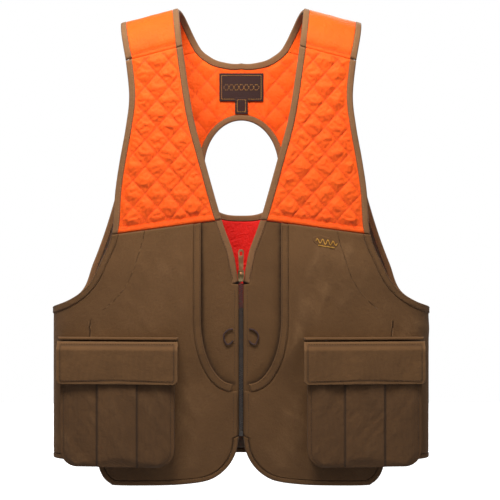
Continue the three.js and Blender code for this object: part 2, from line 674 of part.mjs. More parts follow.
// The bellows wall round the sides and bottom, from the body to the pocket's front.
function gusset(side) {
  const path = (inset) => {
    const [x0, x1] = [POCKET_INNER_X + inset, POCKET_OUTER_X - inset];
    const z0 = POCKET_BOTTOM_Z + inset;
    const r = POCKET_CORNER - inset;
    const turn = (cx, from) =>
      [0, 0.33, 0.67, 1].map((t) => {
        const angle = from + (t * Math.PI) / 2;
        return new THREE.Vector2(cx + r * Math.cos(angle), z0 + r + r * Math.sin(angle));
      });
    const [down, up] = [turn(x0 + r, Math.PI), turn(x1 - r, 1.5 * Math.PI)];
    const top = POCKET_TOP_Z - 4;
    const walls = [x0, x1].map((x) => new THREE.Vector2(x, top));
    return [
      walls[0], ...between(walls[0], down[0], 1), ...down, ...between(down[3], up[0], 5), ...up,
      ...between(up[3], walls[1], 1), walls[1],
    ];
  };
  const wall = (inset) =>
    path(inset).map((p) =>
      [bodyFront(p.x, p.y) + 1.2, pocketPlane(p.x) - LAYER_GAP].map(
        (y) => new THREE.Vector3(side * p.x, -y, p.y),
      ),
    );
  return slab(wall(GUSSET_WALL), wall(0));
}

const FLAP_BACK = PLEAT_STEP + CLOTH + 2 * TAPE_THICK + 3 * LAYER_GAP; // inner face of the flap
const FLAP_BEND = 14; // height over which the flap turns back to its seam
const flapShape = (p) => -FLAP_STEP * smooth((p.y - FLAP_TOP_Z + FLAP_BEND) / FLAP_BEND);
function flap(side) {
  const [x0, x1] = [POCKET_INNER_X - FLAP_OVERHANG, POCKET_OUTER_X + FLAP_OVERHANG];
  const bend = 1 - FLAP_BEND / (FLAP_TOP_Z - FLAP_BOTTOM_Z - FLAP_CORNER);
  const heights = [0, bend / 2, ...[0, 0.25, 0.5, 0.75, 1].map((t) => bend + t * (1 - bend))];
  const rows = roundedRows(
    x0, x1, FLAP_BOTTOM_Z, FLAP_TOP_Z - 1, FLAP_CORNER, [0, 0.25, 0.5, 0.75, 1], heights,
  );
  return pocketPiece(side, rows, (p) => FLAP_BACK + flapShape(p), (p) => FLAP_BACK + CLOTH + flapShape(p));
}

const tapeMiddle = (POCKET_INNER_X + POCKET_OUTER_X) / 2;
function closureTape(side, near) {
  const low = FLAP_BOTTOM_Z + 8;
  const half = Math.min(TAPE_LENGTH, POCKET_WIDTH / 3 - 6) / 2;
  const rows = [low, low + TAPE_WIDTH].map((z) =>
    [tapeMiddle - half, tapeMiddle + half].map((x) => new THREE.Vector2(x, z)),
  );
  return pocketPiece(side, rows, () => near, () => near + TAPE_THICK);
}

// The sewn welt that the flap hangs from, between the body and the flap's top edge.
function flapWelt(side) {
  const [x0, x1] = [POCKET_INNER_X - FLAP_OVERHANG, POCKET_OUTER_X + FLAP_OVERHANG];
  const stops = [0, 0.25, 0.5, 0.65, 0.8, 0.9, 1].map((t) => x0 + t * (x1 - x0));
  const reach = FLAP_BACK - FLAP_STEP + CLOTH - WELT_SET_BACK;
  const wall = (z) =>
    stops.map((x) =>
      [bodyFront(Math.abs(x), z) + 1.6, pocketPlane(x) + reach].map(
        (y) => new THREE.Vector3(side * x, -y, z),
      ),
    );
  return slab(wall(FLAP_TOP_Z + 0.4), wall(FLAP_TOP_Z + 0.4 + WELT_HEIGHT));
}

// ---- Zip, in its own frame: Z runs up the front edge, -Y out of it ----------------------
const zipLength = (high(ZIP_TOP_Z) - high(ZIP_BOTTOM_Z)) * Math.hypot(1, TILT);

// One row of teeth on its bead. Z is zero at the zip's top end.
function teeth(side, top) {
  const low = -zipLength + BOX_HEIGHT + 1;
  const shift = side > 0 ? 0 : TOOTH_PITCH / 2;
  const half = TOOTH_PITCH * 0.2;
  const count = Math.floor((top - 2 - low - shift) / TOOTH_PITCH);
  const points = [
    [BEAD_OUTER, low], [BEAD_OUTER, top], [BEAD_INNER, top],
  ];
  for (let i = count; i >= 1; i--) {
    const z = low + shift + (i - 0.4) * TOOTH_PITCH;
    points.push([BEAD_INNER, z + half], [TOOTH_GAP, z + half * 0.7]);
    points.push([TOOTH_GAP, z - half * 0.7], [BEAD_INNER, z - half]);
  }
  points.push([BEAD_INNER, low]);
  const shape = new THREE.Shape(points.map(([x, z]) => new THREE.Vector2(side * x, z)));
  return plate(shape, 2 * TOOTH_HALF_DEPTH, -TOOTH_HALF_DEPTH);
}

function zipTape(side) {
  const inner = BEAD_OUTER + LAYER_GAP;
  const y = ZIP_TAPE_BACK + ZIP_TAPE_THICK / 2;
  return box(
    ZIP_TAPE_WIDTH, ZIP_TAPE_THICK, zipLength + 2, side * (inner + ZIP_TAPE_WIDTH / 2), y, -zipLength / 2,
  );
}

const SLIDER_FACE = TOOTH_HALF_DEPTH + SLIDER_CLEARANCE;
const PIN_OUT = SLIDER_FACE + SLIDER_PLATE + EYE_RADIUS + 0.5;
const PIN_UP = SLIDER_LENGTH - 5;
function slider() {
  const half = SLIDER_WIDTH / 2;
  const outline = [
    [-half * 0.7, 0], [half * 0.7, 0], [half, SLIDER_LENGTH * 0.55], [half * 0.85, SLIDER_LENGTH],
    [-half * 0.85, SLIDER_LENGTH], [-half, SLIDER_LENGTH * 0.55],
  ].map(([x, z]) => new THREE.Vector2(x, z));
  const face = (y) => plate(new THREE.Shape(outline), SLIDER_PLATE, y);
  const post = box(1.6, 2 * SLIDER_FACE + 1, 3, 0, 0, SLIDER_LENGTH - 1.6);
  const lug = (x) => box(1.2, EYE_RADIUS + 3, 4, x, -(PIN_OUT - 0.6), PIN_UP);
  const pin = new THREE.CylinderGeometry(PIN_RADIUS, PIN_RADIUS, 6.4, 10)
    .rotateZ(Math.PI / 2)
    .translate(0, -PIN_OUT, PIN_UP);
  return joined(face(-SLIDER_FACE - SLIDER_PLATE), face(SLIDER_FACE), post, lug(-2.8), lug(2.8), pin);
}

// Pull tab, with its hinge at the origin, standing up. Its neck is narrow up to NECK, past
// the lugs that it turns between.
const NECK = 4.2;
function pullTab() {
  const half = PULL_WIDTH / 2;
  const flatPoints = (list) => list.map(([x, z]) => new THREE.Vector2(x, z));
  const shape = new THREE.Shape(
    flatPoints([
      [-1.9, 1], [1.9, 1], [1.9, NECK], [half * 0.8, NECK + 4], [half, PULL_LENGTH - 3],
      [half - 1.5, PULL_LENGTH], [1.5 - half, PULL_LENGTH], [-half, PULL_LENGTH - 3],
      [-half * 0.8, NECK + 4], [-1.9, NECK],
    ]),
  );
  const [a, b] = [PULL_LENGTH - 9, PULL_LENGTH - 3];
  const slot = new THREE.Shape(flatPoints([[2 - half, a], [half - 2, a], [half - 2, b], [2 - half, b]]));
  const barrel = (radius, width) =>
    new THREE.CylinderGeometry(radius, radius, width, 14).rotateZ(Math.PI / 2);
  const blade = plate(shape, PULL_THICK, -PULL_THICK / 2);
  return cut(
    joined(blade, barrel(EYE_RADIUS, 3.8)),
    barrel(PIN_RADIUS + 0.3, 8),
    plate(slot, PULL_THICK + 2, -PULL_THICK / 2 - 1),
  );
}

const PIN_SOCKET_X = 1.6;
function retainerBox() {
  const middle = -zipLength + BOX_HEIGHT / 2;
  const block = box(BOX_WIDTH, 2 * TOOTH_HALF_DEPTH + 0.6, BOX_HEIGHT, 0, 0, middle);
  return cut(block, box(2.4, 2.4, BOX_HEIGHT, PIN_SOCKET_X, 0, middle + 2));
}

// The pin stands in the box's socket under the left row of teeth.
function insertionPin() {
  const length = BOX_HEIGHT - 2.6;
  return new THREE.CylinderGeometry(0.85, 0.85, length, 8)
    .rotateX(Math.PI / 2)
    .translate(PIN_SOCKET_X, 0, -zipLength + 2.4 + length / 2);
}

// ---- Cord loops ------------------------------------------------------------------------
// A sewn loop of cord lying on the inner shell beside the zip.
function cordLoop(side) {
  const spot = (x, dz, out) => {
    const z = high(LOOP_TOP_Z) - dz;
    const lift = CLOTH + CORD_DIAMETER / 2 + 0.5 + out;
    return new THREE.Vector3(side * (LOOP_X + x), -(depthAt(z) + lift), z);
  };
  const path = new THREE.CatmullRomCurve3([
    spot(0, 0, 0),
    spot(LOOP_REACH * 0.45, 0.5, 0.4),
    spot(LOOP_REACH * 0.9, LOOP_DROP * 0.35, 0.8),
    spot(LOOP_REACH, LOOP_DROP * 0.7, 0.8),
    spot(LOOP_REACH * 0.72, LOOP_DROP + LOOP_SAG * 0.85, 0.8),
    spot(LOOP_REACH * 0.3, LOOP_DROP + LOOP_SAG * 0.75, 0.4),
    spot(0, LOOP_DROP, 0),
  ]);
  const circle = new THREE.Shape();
  circle.absarc(0, 0, CORD_DIAMETER / 2, 0, 2 * Math.PI, false);
  return new THREE.ExtrudeGeometry(circle, { steps: 16, curveSegments: 4, extrudePath: path });
}

// ---- Build: shoulders, back and labels -------------------------------------------------
add("back_yoke", backYoke(), ORANGE);
add("back_panel", backPanel(), LINING);
add("game_bag", gameBag(), CANVAS);
add("game_bag_binding", bagBinding(), TAPE);
add("back_hem", backHem(), CANVAS);
add("neck_binding", draped(across(backNeck, offset(backNeck, -BINDING)), ...QUILT_BINDING), TAPE);
const ventRows = across(ventOutline(0, 32), ventOutline(BINDING, 32));
add("vent_binding", draped(ventRows, ...QUILT_BINDING, true), TAPE);

// A label on the inside of the back, its top edge at z.
function label(width, height, z, lift) {
  const rows = [z, z - height].map((at) => [-0.5, 0, 0.5].map((k) => backAt(k * width, at)));
  return draped(rows, lift - LABEL_THICK, lift);
}
const labelTop = high(LABEL_TOP_Z);
const tabTop = labelTop - LABEL_HEIGHT + 6;
const tabLift = -2 * LAYER_GAP - LABEL_THICK;
add("neck_label", label(LABEL_WIDTH, LABEL_HEIGHT, labelTop, -LAYER_GAP), LABEL_CLOTH);
add("size_tab", label(SIZE_TAB_WIDTH, SIZE_TAB_LENGTH, tabTop, tabLift), LABEL_CLOTH);
const emblemAt = front(EMBLEM_X, EMBLEM_Z);

// ---- Build: each side ------------------------------------------------------------------
const zip = new THREE.Group();
zip.position.set(0, -depthAt(high(ZIP_TOP_Z)), high(ZIP_TOP_Z));
zip.rotation.x = Math.atan(TILT);
vest.add(zip);

for (const [name, side] of [["right", -1], ["left", 1]]) {
  const strip = (near, far, inner, outer) => draped(onSide(side, across(near, far)), inner, outer);
  add(`${name}_shoulder_saddle`, saddle(side), ORANGE);
  add(`${name}_front_yoke`, frontYoke(side), ORANGE);
  add(`${name}_yoke_neck_binding`, strip(neckUpper(0), neckUpper(BINDING), ...QUILT_BINDING), TAPE);
  add(`${name}_yoke_arm_binding`, strip(armUpper(0), armUpper(BINDING), ...QUILT_BINDING), TAPE);
  add(`${name}_back_arm_binding`, strip(backArm, offset(backArm, BINDING), ...QUILT_BINDING), TAPE);

  add(`${name}_front_base`, frontBase(side), CANVAS);
  add(`${name}_front_outer`, frontOuter(side), CANVAS);
  add(`${name}_front_neck_binding`, strip(neckLower(0), neckLower(BINDING), ...CLOTH_BINDING), TAPE);
  add(`${name}_front_arm_binding`, strip(armLower(0), armLower(BINDING), -BINDING_OVER, CLOTH), TAPE);
  const facing = [shellLift(BAG_IN - 0.4), shellLift(BAG_OUT + 0.5)];
  add(`${name}_mouth_facing`, strip(mouth, offset(mouth, FACING), ...facing), CANVAS);
  add(`${name}_arm_facing`, strip(armLower(0), armLower(FACING), ...facing), CANVAS);
  add(`${name}_front_hem`, strip(hem, hemBand, 0, BAG_OUT), CANVAS);

  add(`${name}_pocket_gusset`, gusset(side), CANVAS);
  add(`${name}_pocket_front`, pocketFront(side), CANVAS);
  add(`${name}_pocket_loop_tape`, closureTape(side, PLEAT_STEP + CLOTH + LAYER_GAP), DARK_TAPE);
  add(`${name}_flap_hook_tape`, closureTape(side, FLAP_BACK - LAYER_GAP - TAPE_THICK), DARK_TAPE);
  add(`${name}_pocket_flap`, flap(side), CANVAS);
  add(`${name}_flap_welt`, flapWelt(side), CANVAS);

  add(`${name}_zip_teeth`, teeth(side, side < 0 ? SLIDER_LENGTH - 5 : -1), TOOTH, zip);
  add(`${name}_zip_tape`, zipTape(side), DARK_TAPE, zip);
  add(`${name}_cord_loop`, cordLoop(side), CORD);
}
add("zip_slider", slider(), BRASS, zip);
add("zip_pull_tab", pullTab(), BRASS, zip).position.set(0, -PIN_OUT, PIN_UP);
add("zip_retainer_box", retainerBox(), TOOTH, zip);
add("zip_insertion_pin", insertionPin(), TOOTH, zip);

const emblemRows = [-1, -0.4, 0.4, 1].map((t) => {
  const half = EMBLEM_HALF_WIDTH * Math.sqrt(1 - (0.9 * t) ** 2);
  return [-1, 0, 1].map((k) => new THREE.Vector2(emblemAt.x + k * half, emblemAt.y + t * EMBLEM_HALF_HEIGHT));
});
const emblemLift = shellLift(BAG_OUT + 1);
add("chest_emblem", draped(emblemRows, emblemLift, (p) => emblemLift(p) + EMBLEM_THICK), THREAD);

// The origin is the top of the back neckline, where a peg or a hanger holds the vest.
const hang = lifted(0, back(0, BACK_NECK_Z).y, QUILT / 2);
vest.position.set(0, -hang.y, -hang.z);
export default vest;
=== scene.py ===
"""Looks for a quilted field vest: orange padded shoulders over a brown canvas body.

Cloth is cut in the same pattern plane as the solids: u is the girth from the centre line and
v the distance over the shoulder crest, negative down the front. Lengths are millimetres in
the body form's own frame until a mesh is made, which is in metres from the hang point.
"""

import math

import bpy
import numpy as np
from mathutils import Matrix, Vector


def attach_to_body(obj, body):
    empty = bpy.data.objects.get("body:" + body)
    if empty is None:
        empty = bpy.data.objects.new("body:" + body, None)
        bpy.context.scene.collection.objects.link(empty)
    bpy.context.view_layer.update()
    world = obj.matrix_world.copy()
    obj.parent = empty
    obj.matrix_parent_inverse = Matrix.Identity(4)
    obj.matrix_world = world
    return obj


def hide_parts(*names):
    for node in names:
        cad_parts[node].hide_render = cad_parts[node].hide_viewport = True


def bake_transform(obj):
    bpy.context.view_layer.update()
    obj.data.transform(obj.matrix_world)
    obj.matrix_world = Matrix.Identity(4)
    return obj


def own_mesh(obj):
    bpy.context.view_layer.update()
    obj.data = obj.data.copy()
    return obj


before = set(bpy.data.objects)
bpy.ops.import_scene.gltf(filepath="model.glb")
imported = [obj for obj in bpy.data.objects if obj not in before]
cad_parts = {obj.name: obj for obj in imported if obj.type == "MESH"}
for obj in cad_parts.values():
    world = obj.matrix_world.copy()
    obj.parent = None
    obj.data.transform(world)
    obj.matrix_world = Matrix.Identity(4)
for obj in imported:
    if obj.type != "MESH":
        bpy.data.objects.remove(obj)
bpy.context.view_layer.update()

# ---- Body form ---------------------------------------------------------------------------
HALF_WIDTH, LENGTH, CHEST, HEM = 278.0, 720.0, 60.0, 48.0
HANG = np.array([0.0, 62.0, 648.0])
CREST_FLAT, ARCH_RUN, ARCH_HEIGHT = 8.0, 88.0, 60.0
SEAM_V = CREST_FLAT + ARCH_RUN
TILT = (CHEST - HEM) / 400
NECK_X, SHOULDER_FALL = 94, 23 / 89
BAG_IN, BAG_OUT = 7.0, 9.0  # lifts of the outer cloth's two faces off the form
SEAM, BINDING, FACING, HEM_BAND = 0.2, 9.5, 11.0, 8.0
TUCK, LAP = 2.5, 0.4  # how far one cloth reaches under or past the next
TAPE_IN, TAPE_LOW, TAPE_OUT = -1, 2.2, 5.2  # a binding's lifts: inside, over canvas, over quilting
TAPE_SEWN = 1.8  # its stitching, from its inner edge
HEM_Z, UNDERARM_Z, ZIP_TOP_Z, ZIP_BOTTOM_Z = 38, 268, 308, 75
INSET = BINDING - 0.6
SIDES = (("right", -1), ("left", 1))

_a = np.linspace(0, math.pi / 2, 241)
SECTION_X = HALF_WIDTH * np.sin(_a) ** (2 / 3.2)
SECTION_SHARE = np.cos(_a).clip(0) ** (2 / 3.2)
SECTION_GIRTH = np.r_[0, np.cumsum(np.hypot(np.diff(SECTION_X), np.diff(SECTION_SHARE) * CHEST))]
GIRTH = SECTION_GIRTH[-1]


def girth_at(x):
    return np.sign(x) * np.interp(np.abs(x), SECTION_X, SECTION_GIRTH)


def width_at(u):
    return np.sign(u) * np.interp(np.abs(u), SECTION_GIRTH, SECTION_X)


def crest_at(x):
    """Height of the shoulder line, which falls outwards from the neck."""
    return LENGTH - (np.abs(x) - NECK_X) * SHOULDER_FALL


def depth_at(z):
    return HEM + TILT * np.clip(z, 0, 400)


def smooth(t):
    t = np.clip(t, 0, 1)
    return t * t * (3 - 2 * t)


def form(u, v):
    """Points of the form's surface, one row each."""
    x = width_at(u)
    share = np.interp(np.abs(u), SECTION_GIRTH, SECTION_SHARE)
    down = np.abs(v)
    turn = np.clip((down - CREST_FLAT) / ARCH_RUN, 0, 1) * math.pi / 2
    z = crest_at(x) - ARCH_HEIGHT * (1 - np.cos(turn)) - np.maximum(0, down - SEAM_V)
    flat = CREST_FLAT * np.cos(turn) ** 2
    y = flat + (depth_at(z) * share - flat) * np.sin(turn)
    y = np.where(down <= CREST_FLAT, down, y)
    return np.stack([x, np.where(v < 0, -y, y), z], -1)


def normals(u, v):
    inward, away = np.where(u >= 0, -1.0, 1.0), np.where(v >= 0, 1.0, -1.0)
    here = form(u, v)
    across = (form(u + inward, v) - here) * inward[..., None]
    down = (form(u, v + away) - here) * away[..., None]
    n = np.cross(across, down)
    return n / np.linalg.norm(n, axis=-1, keepdims=True)


def lifted(uv, lift):
    u, v = uv[..., 0], uv[..., 1]
    return form(u, v) + normals(u, v) * np.asarray(lift)[..., None]


def on_form(x, z, face):
    drop = crest_at(x) - z
    turn = np.arccos(np.clip(1 - drop / ARCH_HEIGHT, -1, 1)) / (math.pi / 2)
    down = np.where(drop <= ARCH_HEIGHT, CREST_FLAT + ARCH_RUN * turn, SEAM_V + drop - ARCH_HEIGHT)
    return np.stack(np.broadcast_arrays(girth_at(x), face * down), -1)


def front(x, z):
    return on_form(np.float64(x), np.float64(z), -1)


def back(x, z):
    return on_form(np.float64(x), np.float64(z), 1)


def front_u(u, z):
    return np.stack(np.broadcast_arrays(u, on_form(width_at(u), z, -1)[..., 1]), -1)


def back_u(u, z):
    return np.stack(np.broadcast_arrays(u, on_form(width_at(u), z, 1)[..., 1]), -1)


def height_of(uv):
    return form(uv[..., 0], uv[..., 1])[..., 2]


def placed(rows):
    """A grid's points on the form, and their x and z."""
    at = form(rows[..., 0], rows[..., 1])
    return at, at[..., 0], at[..., 2]


# ---- Curves ------------------------------------------------------------------------------
def respaced(points, count):
    """count + 1 points at even distances along a polyline."""
    steps = np.r_[0, np.cumsum(np.linalg.norm(np.diff(points, axis=0), axis=1))]
    at = np.linspace(0, steps[-1], count + 1)
    return np.stack([np.interp(at, steps, points[:, k]) for k in range(points.shape[1])], -1)


def spline(points, count=200):
    """An evenly spaced curve through the points."""
    p = np.array([np.asarray(q, float) for q in points])
    p = np.concatenate([p[:1], p, p[-1:]])
    t = np.linspace(0, 1, 12, endpoint=False)[:, None]
    runs = []
    for a, b, c, d in zip(p, p[1:], p[2:], p[3:]):
        v0, v1 = (c - a) / 2, (d - b) / 2
        cubic, square = 2 * b - 2 * c + v0 + v1, -3 * b + 3 * c - 2 * v0 - v1
        runs.append(cubic * t**3 + square * t**2 + v0 * t + b)
    return respaced(np.concatenate([*runs, p[-1:]]), count)


def offset(points, distance):
    along = np.gradient(points, axis=0)
    along /= np.linalg.norm(along, axis=1, keepdims=True)
    return points + distance * np.stack([-along[:, 1], along[:, 0]], -1)


def clipped(points, height):
    """The stretch of a curve where height is positive, ending exactly at zero."""
    kept, h = [], height(points)
    for i, p in enumerate(points):
        if i and (h[i] > 0) != (h[i - 1] > 0):
            kept.append(points[i - 1] + (p - points[i - 1]) * h[i - 1] / (h[i - 1] - h[i]))
        if h[i] > 0:
            kept.append(p)
    return np.array(kept)


def mirrored(points):
    return (np.array(points) * [-1, 1])[::-1]


def rows_between(near, far, shares):
    s = np.asarray(shares)[None, :, None]
    return near[:, None] * (1 - s) + far[:, None] * s


def patch(top, bottom, left, right):
    """Rows of points filling four edges: top and bottom run from left to right."""
    s = np.linspace(0, 1, len(top))[None, :, None]
    t = np.linspace(0, 1, len(left))[:, None, None]
    sides = left[:, None] * (1 - s) + right[:, None] * s
    ends = top[None] * (1 - t) + bottom[None] * t
    first, last = (left[k] * (1 - s) + right[k] * s for k in (0, -1))
    corners = first * (1 - t) + last * t
    return sides + ends - corners


def yoke_edge(x):
    """Height of the seam under the front yoke, which falls outwards."""
    return 399 - 21 * (np.abs(x) - 40) / 154


def on_yoke_edge(u, shift):
    """Pattern points along the seam under the front yoke, moved up by shift."""
    return front_u(u, yoke_edge(width_at(u)) + shift)


def over_yoke(p):
    return height_of(p) - yoke_edge(width_at(p[:, 0])) - SEAM / 2


def under_yoke(p):
    return yoke_edge(width_at(p[:, 0])) - SEAM / 2 - height_of(p)


EDGE_U = 3.6
front_neck = spline(
    [(girth_at(88), -SEAM_V), front(73, 562), front(55, 492), front(29, 400), front(12, 352),
     front_u(4.0, ZIP_TOP_Z)]
)
front_arm = spline(
    [(girth_at(173), -SEAM_V), front(168, 586), front(173, 540), front(182, 490), front(189, 442),
     front(194, 379), front(210, 337), front(228, 303), front(256, 280),
     (GIRTH - SEAM, front(HALF_WIDTH, UNDERARM_Z)[1])]
)
neck_side = [
    (girth_at(88), -SEAM_V), (girth_at(93), -SEAM_V / 2), (girth_at(94), 0),
    back(83, 707), back(66, 674), back(49, 658), back(30, 650),
]
back_neck = spline([*neck_side, back(0, 648), *mirrored(neck_side)], 400)
back_arm = spline(
    [(girth_at(173), -SEAM_V), (girth_at(181), -SEAM_V / 2), (girth_at(183), 0),
     (girth_at(181), SEAM_V / 2), (girth_at(174), SEAM_V), back(170, 586), back(176, 540),
     back(186, 490), back(196, 442), back(213, 384), back(231, 334), back(250, 289),
     (GIRTH - SEAM, back(HALF_WIDTH, UNDERARM_Z)[1])],
    300,
)


def squared(points, v):
    """Moves a curve's start onto v, over its first few points."""
    p = points.copy()
    p[:12, 1] += np.linspace(1, 0, 12) ** 2 * (v - p[0, 1])
    return p


def upper(curve, sign):
    """The run of a front edge on the yoke, as a function of the distance in and a count."""
    part = lambda into: clipped(offset(curve, sign * into), over_yoke)
    return lambda into, n: respaced(squared(part(into), -SEAM_V - SEAM), n)


def lower(curve, sign):
    return lambda into, n: respaced(clipped(offset(curve, sign * into), under_yoke), n)


neck_upper, neck_lower = upper(front_neck, 1), lower(front_neck, 1)
arm_upper, arm_lower = upper(front_arm, -1), lower(front_arm, -1)


# ---- Noise -------------------------------------------------------------------------------
def noise(x, y, size, seed):
    """Smooth value noise from -1 to 1 with features of about that size."""
    table = np.random.default_rng(seed).uniform(-1, 1, (97, 97))
    x, y = x / size + 40, y / size + 40
    i, j = np.floor(x).astype(int), np.floor(y).astype(int)
    fx, fy = smooth(x - i), smooth(y - j)
    at = lambda a, b: table[a % 97, b % 97]
    low = at(i, j) * (1 - fx) + at(i + 1, j) * fx
    high = at(i, j + 1) * (1 - fx) + at(i + 1, j + 1) * fx
    return low * (1 - fy) + high * fy


def wrinkles(x, z, seed, size=60.0, lean=0.6):
    """Soft drag lines that lean across the cloth, in millimetres before scaling."""
    a = x + lean * z + 14 * noise(x, z, 70, seed)
    b = z - lean * x
    folds = noise(a, b / 2.6, size / 2, seed + 1) + 0.5 * noise(a, b / 2.2, size / 4, seed + 2)
    return folds * (0.6 + 0.4 * noise(x, z, size * 1.6, seed + 3))


# ---- Materials ---------------------------------------------------------------------------
def linear(srgb):
    c = np.array(srgb) / 255
    return (*np.where(c <= 0.04045, c / 12.92, ((c + 0.055) / 1.055) ** 2.4), 1.0)


class Nodes:
    """A material's node tree, built one node at a time."""

    def __init__(self, name, **settings):
        self.material = bpy.data.materials.new(name)
        self.material.use_nodes = True
        self.tree = self.material.node_tree
        self.shader = self.tree.nodes["Principled BSDF"]
        for key, value in settings.items():
            self.shader.inputs[key.replace("_", " ")].default_value = value

    def add(self, kind, values=None, **settings):
        node = self.tree.nodes.new("ShaderNode" + kind)
        for key, value in settings.items():
            setattr(node, key, value)
        for key, value in (values or {}).items():
            if isinstance(value, bpy.types.NodeSocket):
                self.tree.links.new(value, node.inputs[key])
            else:
                node.inputs[key].default_value = value
        return node

    def math(self, operation, a, b=0.0):
        return self.add("Math", {0: a, 1: b}, operation=operation).outputs[0]

    def plus(self, a, b):
        return self.math("ADD", a, b)

    def minus(self, a, b):
        return self.math("SUBTRACT", a, b)

    def times(self, a, b):
        return self.math("MULTIPLY", a, b)

    def attribute(self, name, output="Fac"):
        return self.add("Attribute", attribute_name=name).outputs[output]

    def noise(self, at, scale, detail=3.0, rough=0.55):
        values = {"Vector": at, "Scale": scale, "Detail": detail, "Roughness": rough}
        return self.add("TexNoise", values).outputs["Fac"]

    def mix(self, factor, a, b, blend="MIX"):
        node = self.add("Mix", {"Factor": factor}, data_type="RGBA", blend_type=blend)
        for socket, value in ((node.inputs[6], a), (node.inputs[7], b)):
            if isinstance(value, bpy.types.NodeSocket):
                self.tree.links.new(value, socket)
            else:
                socket.default_value = value
        return node.outputs[2]

    def to(self, socket, value):
        self.tree.links.new(value, self.shader.inputs[socket])


def woven(name, light, dark, pitch, roughness, sheen, twill=True, crinkle=0.0, worn=None,
          seam=None):
    """Cloth: a weave at its real pitch, mottled colour, creases, paler wear on folds and painted
    shade in recesses and under edges. light and dark are sRGB ends of the mottling, pitch is metres
    between yarns."""
    m = Nodes(name, Sheen_Weight=sheen, Sheen_Roughness=0.5, Specular_IOR_Level=0.25)
    at = m.attribute("pattern", "Vector")
    wide = m.noise(at, 22, 4)
    fine = m.noise(at, 240, 2)
    split = m.add("SeparateXYZ", {0: at})
    across, along = split.outputs[0], split.outputs[1]
    turn = 2 * math.pi / pitch
    if twill:
        warp = m.math("SINE", m.times(m.plus(across, along), turn * 0.7))
        weft = m.math("SINE", m.times(along, turn))
    else:
        warp = m.math("SINE", m.times(across, turn))
        weft = m.math("SINE", m.times(along, turn))
    weave = m.plus(m.times(warp, 0.6), m.times(weft, 0.4))
    shade = m.plus(m.times(wide, 0.8), 0.1)
    shade = m.plus(shade, m.times(m.minus(fine, 0.5), 0.35))
    shade = m.plus(shade, m.times(weave, 0.12))
    clamp = m.add("Clamp", {0: shade}).outputs[0]
    colour = m.mix(clamp, linear(dark), linear(light))
    if worn:
        rub = m.times(m.attribute("wear"), m.times(fine, 1.3))
        colour = m.mix(m.add("Clamp", {0: rub}).outputs[0], colour, linear(worn))
    # Painted shade: the cloth darkens towards its last colour where the mesh's painted shade mask
    # is high.
    if seam:
        colour = m.mix(m.add("Clamp", {0: m.attribute("seam")}).outputs[0], colour, linear(seam))
    m.to("Base Color", colour)
    m.to("Roughness", m.plus(m.times(fine, 0.2), roughness - 0.1))
    height = m.times(weave, pitch * 0.12)
    height = m.plus(height, m.times(fine, 0.0006))
    if crinkle:
        creases = m.noise(at, 75, 5, 0.6)
        creases = m.math("ABSOLUTE", m.minus(creases, 0.5))
        height = m.plus(height, m.times(creases, -crinkle))
    bump = m.add("Bump", {"Height": height, "Strength": 0.8, "Distance": 1.0})
    m.to("Normal", bump.outputs[0])
    return m.material


def hard(name, colour, edge, roughness, metallic, scale):
    """Moulded or cast surface with fine grain and worn patches."""
    m = Nodes(name, Metallic=metallic)
    at = m.add("TexCoord").outputs["Object"]
    grain = m.noise(at, scale, 4)
    patches = m.times(m.minus(m.noise(at, scale / 6), 0.45), 4.0)
    wear = m.add("Clamp", {0: patches})
    m.to("Base Color", m.mix(wear.outputs[0], linear(colour), linear(edge)))
    m.to("Roughness", m.plus(m.times(grain, 0.3), roughness - 0.15))
    bump = m.add("Bump", {"Height": grain, "Strength": 0.25, "Distance": 0.0004})
    m.to("Normal", bump.outputs[0])
    return m.material


# A cloth's last colour is its painted shade. It is mixed in where a piece's painted shade mask
# marks quilting lines, pleat creases, the flap groove and the shadow under a mouth facing.
ORANGE = woven("orange_poplin", (255, 100, 4), (252, 80, 0), 0.0009, 0.66, 0.03, False, 0.0035,
               seam=(222, 62, 6))
# A deep red, darker copy of the orange poplin: its red is painted shade for the back panel.
SHADED_LINING = woven("orange_lining", (240, 22, 2), (208, 8, 0), 0.0009, 0.55, 0.05, False, 0.004,
               (74, 53, 36), (140, 14, 2))
CANVAS = woven("brown_canvas", (114, 80, 47), (88, 60, 33), 0.0011, 0.92, 0.03, True, 0.0008,
               (132, 97, 63), (44, 29, 17))
# A darker copy of the brown canvas: painted shade for the pockets low on the front.
SHADED_POCKET_CANVAS = woven("pocket_canvas_painted_shade", (104, 72, 42), (78, 53, 30), 0.0011, 0.92, 0.03, True,
                      0.0008, (120, 88, 57), (40, 27, 16))
TAPE = woven("edge_binding", (140, 99, 63), (114, 79, 49), 0.0014, 0.85, 0.05, False, 0.001,
             (166, 124, 88), (86, 61, 40))
LABEL = woven("woven_label", (60, 33, 27), (38, 21, 17), 0.0005, 0.7, 0.05, False)
GOLD = woven("gold_thread", (214, 160, 62), (176, 124, 40), 0.0006, 0.5, 0.1, False)
THREAD = woven("canvas_thread", (84, 59, 37), (58, 40, 25), 0.0006, 0.7, 0.03)
PALE_THREAD = woven("binding_thread", (172, 132, 92), (136, 100, 66), 0.0006, 0.7, 0.03)
ORANGE_THREAD = woven("orange_thread", (244, 88, 18), (222, 66, 8), 0.0006, 0.6, 0.03)
TOOTH = hard("zip_plastic", (32, 23, 17), (56, 42, 31), 0.42, 0.0, 900)
BRASS = hard("antique_brass", (112, 92, 62), (176, 156, 116), 0.38, 1.0, 700)
PULL = hard("aged_pull", (132, 92, 62), (168, 128, 92), 0.45, 0.9, 600)


# ---- Meshes ------------------------------------------------------------------------------
ROUND_OFF = 1.2  # how far in from its border a piece is rounded off
STRIP_COLUMNS = 8


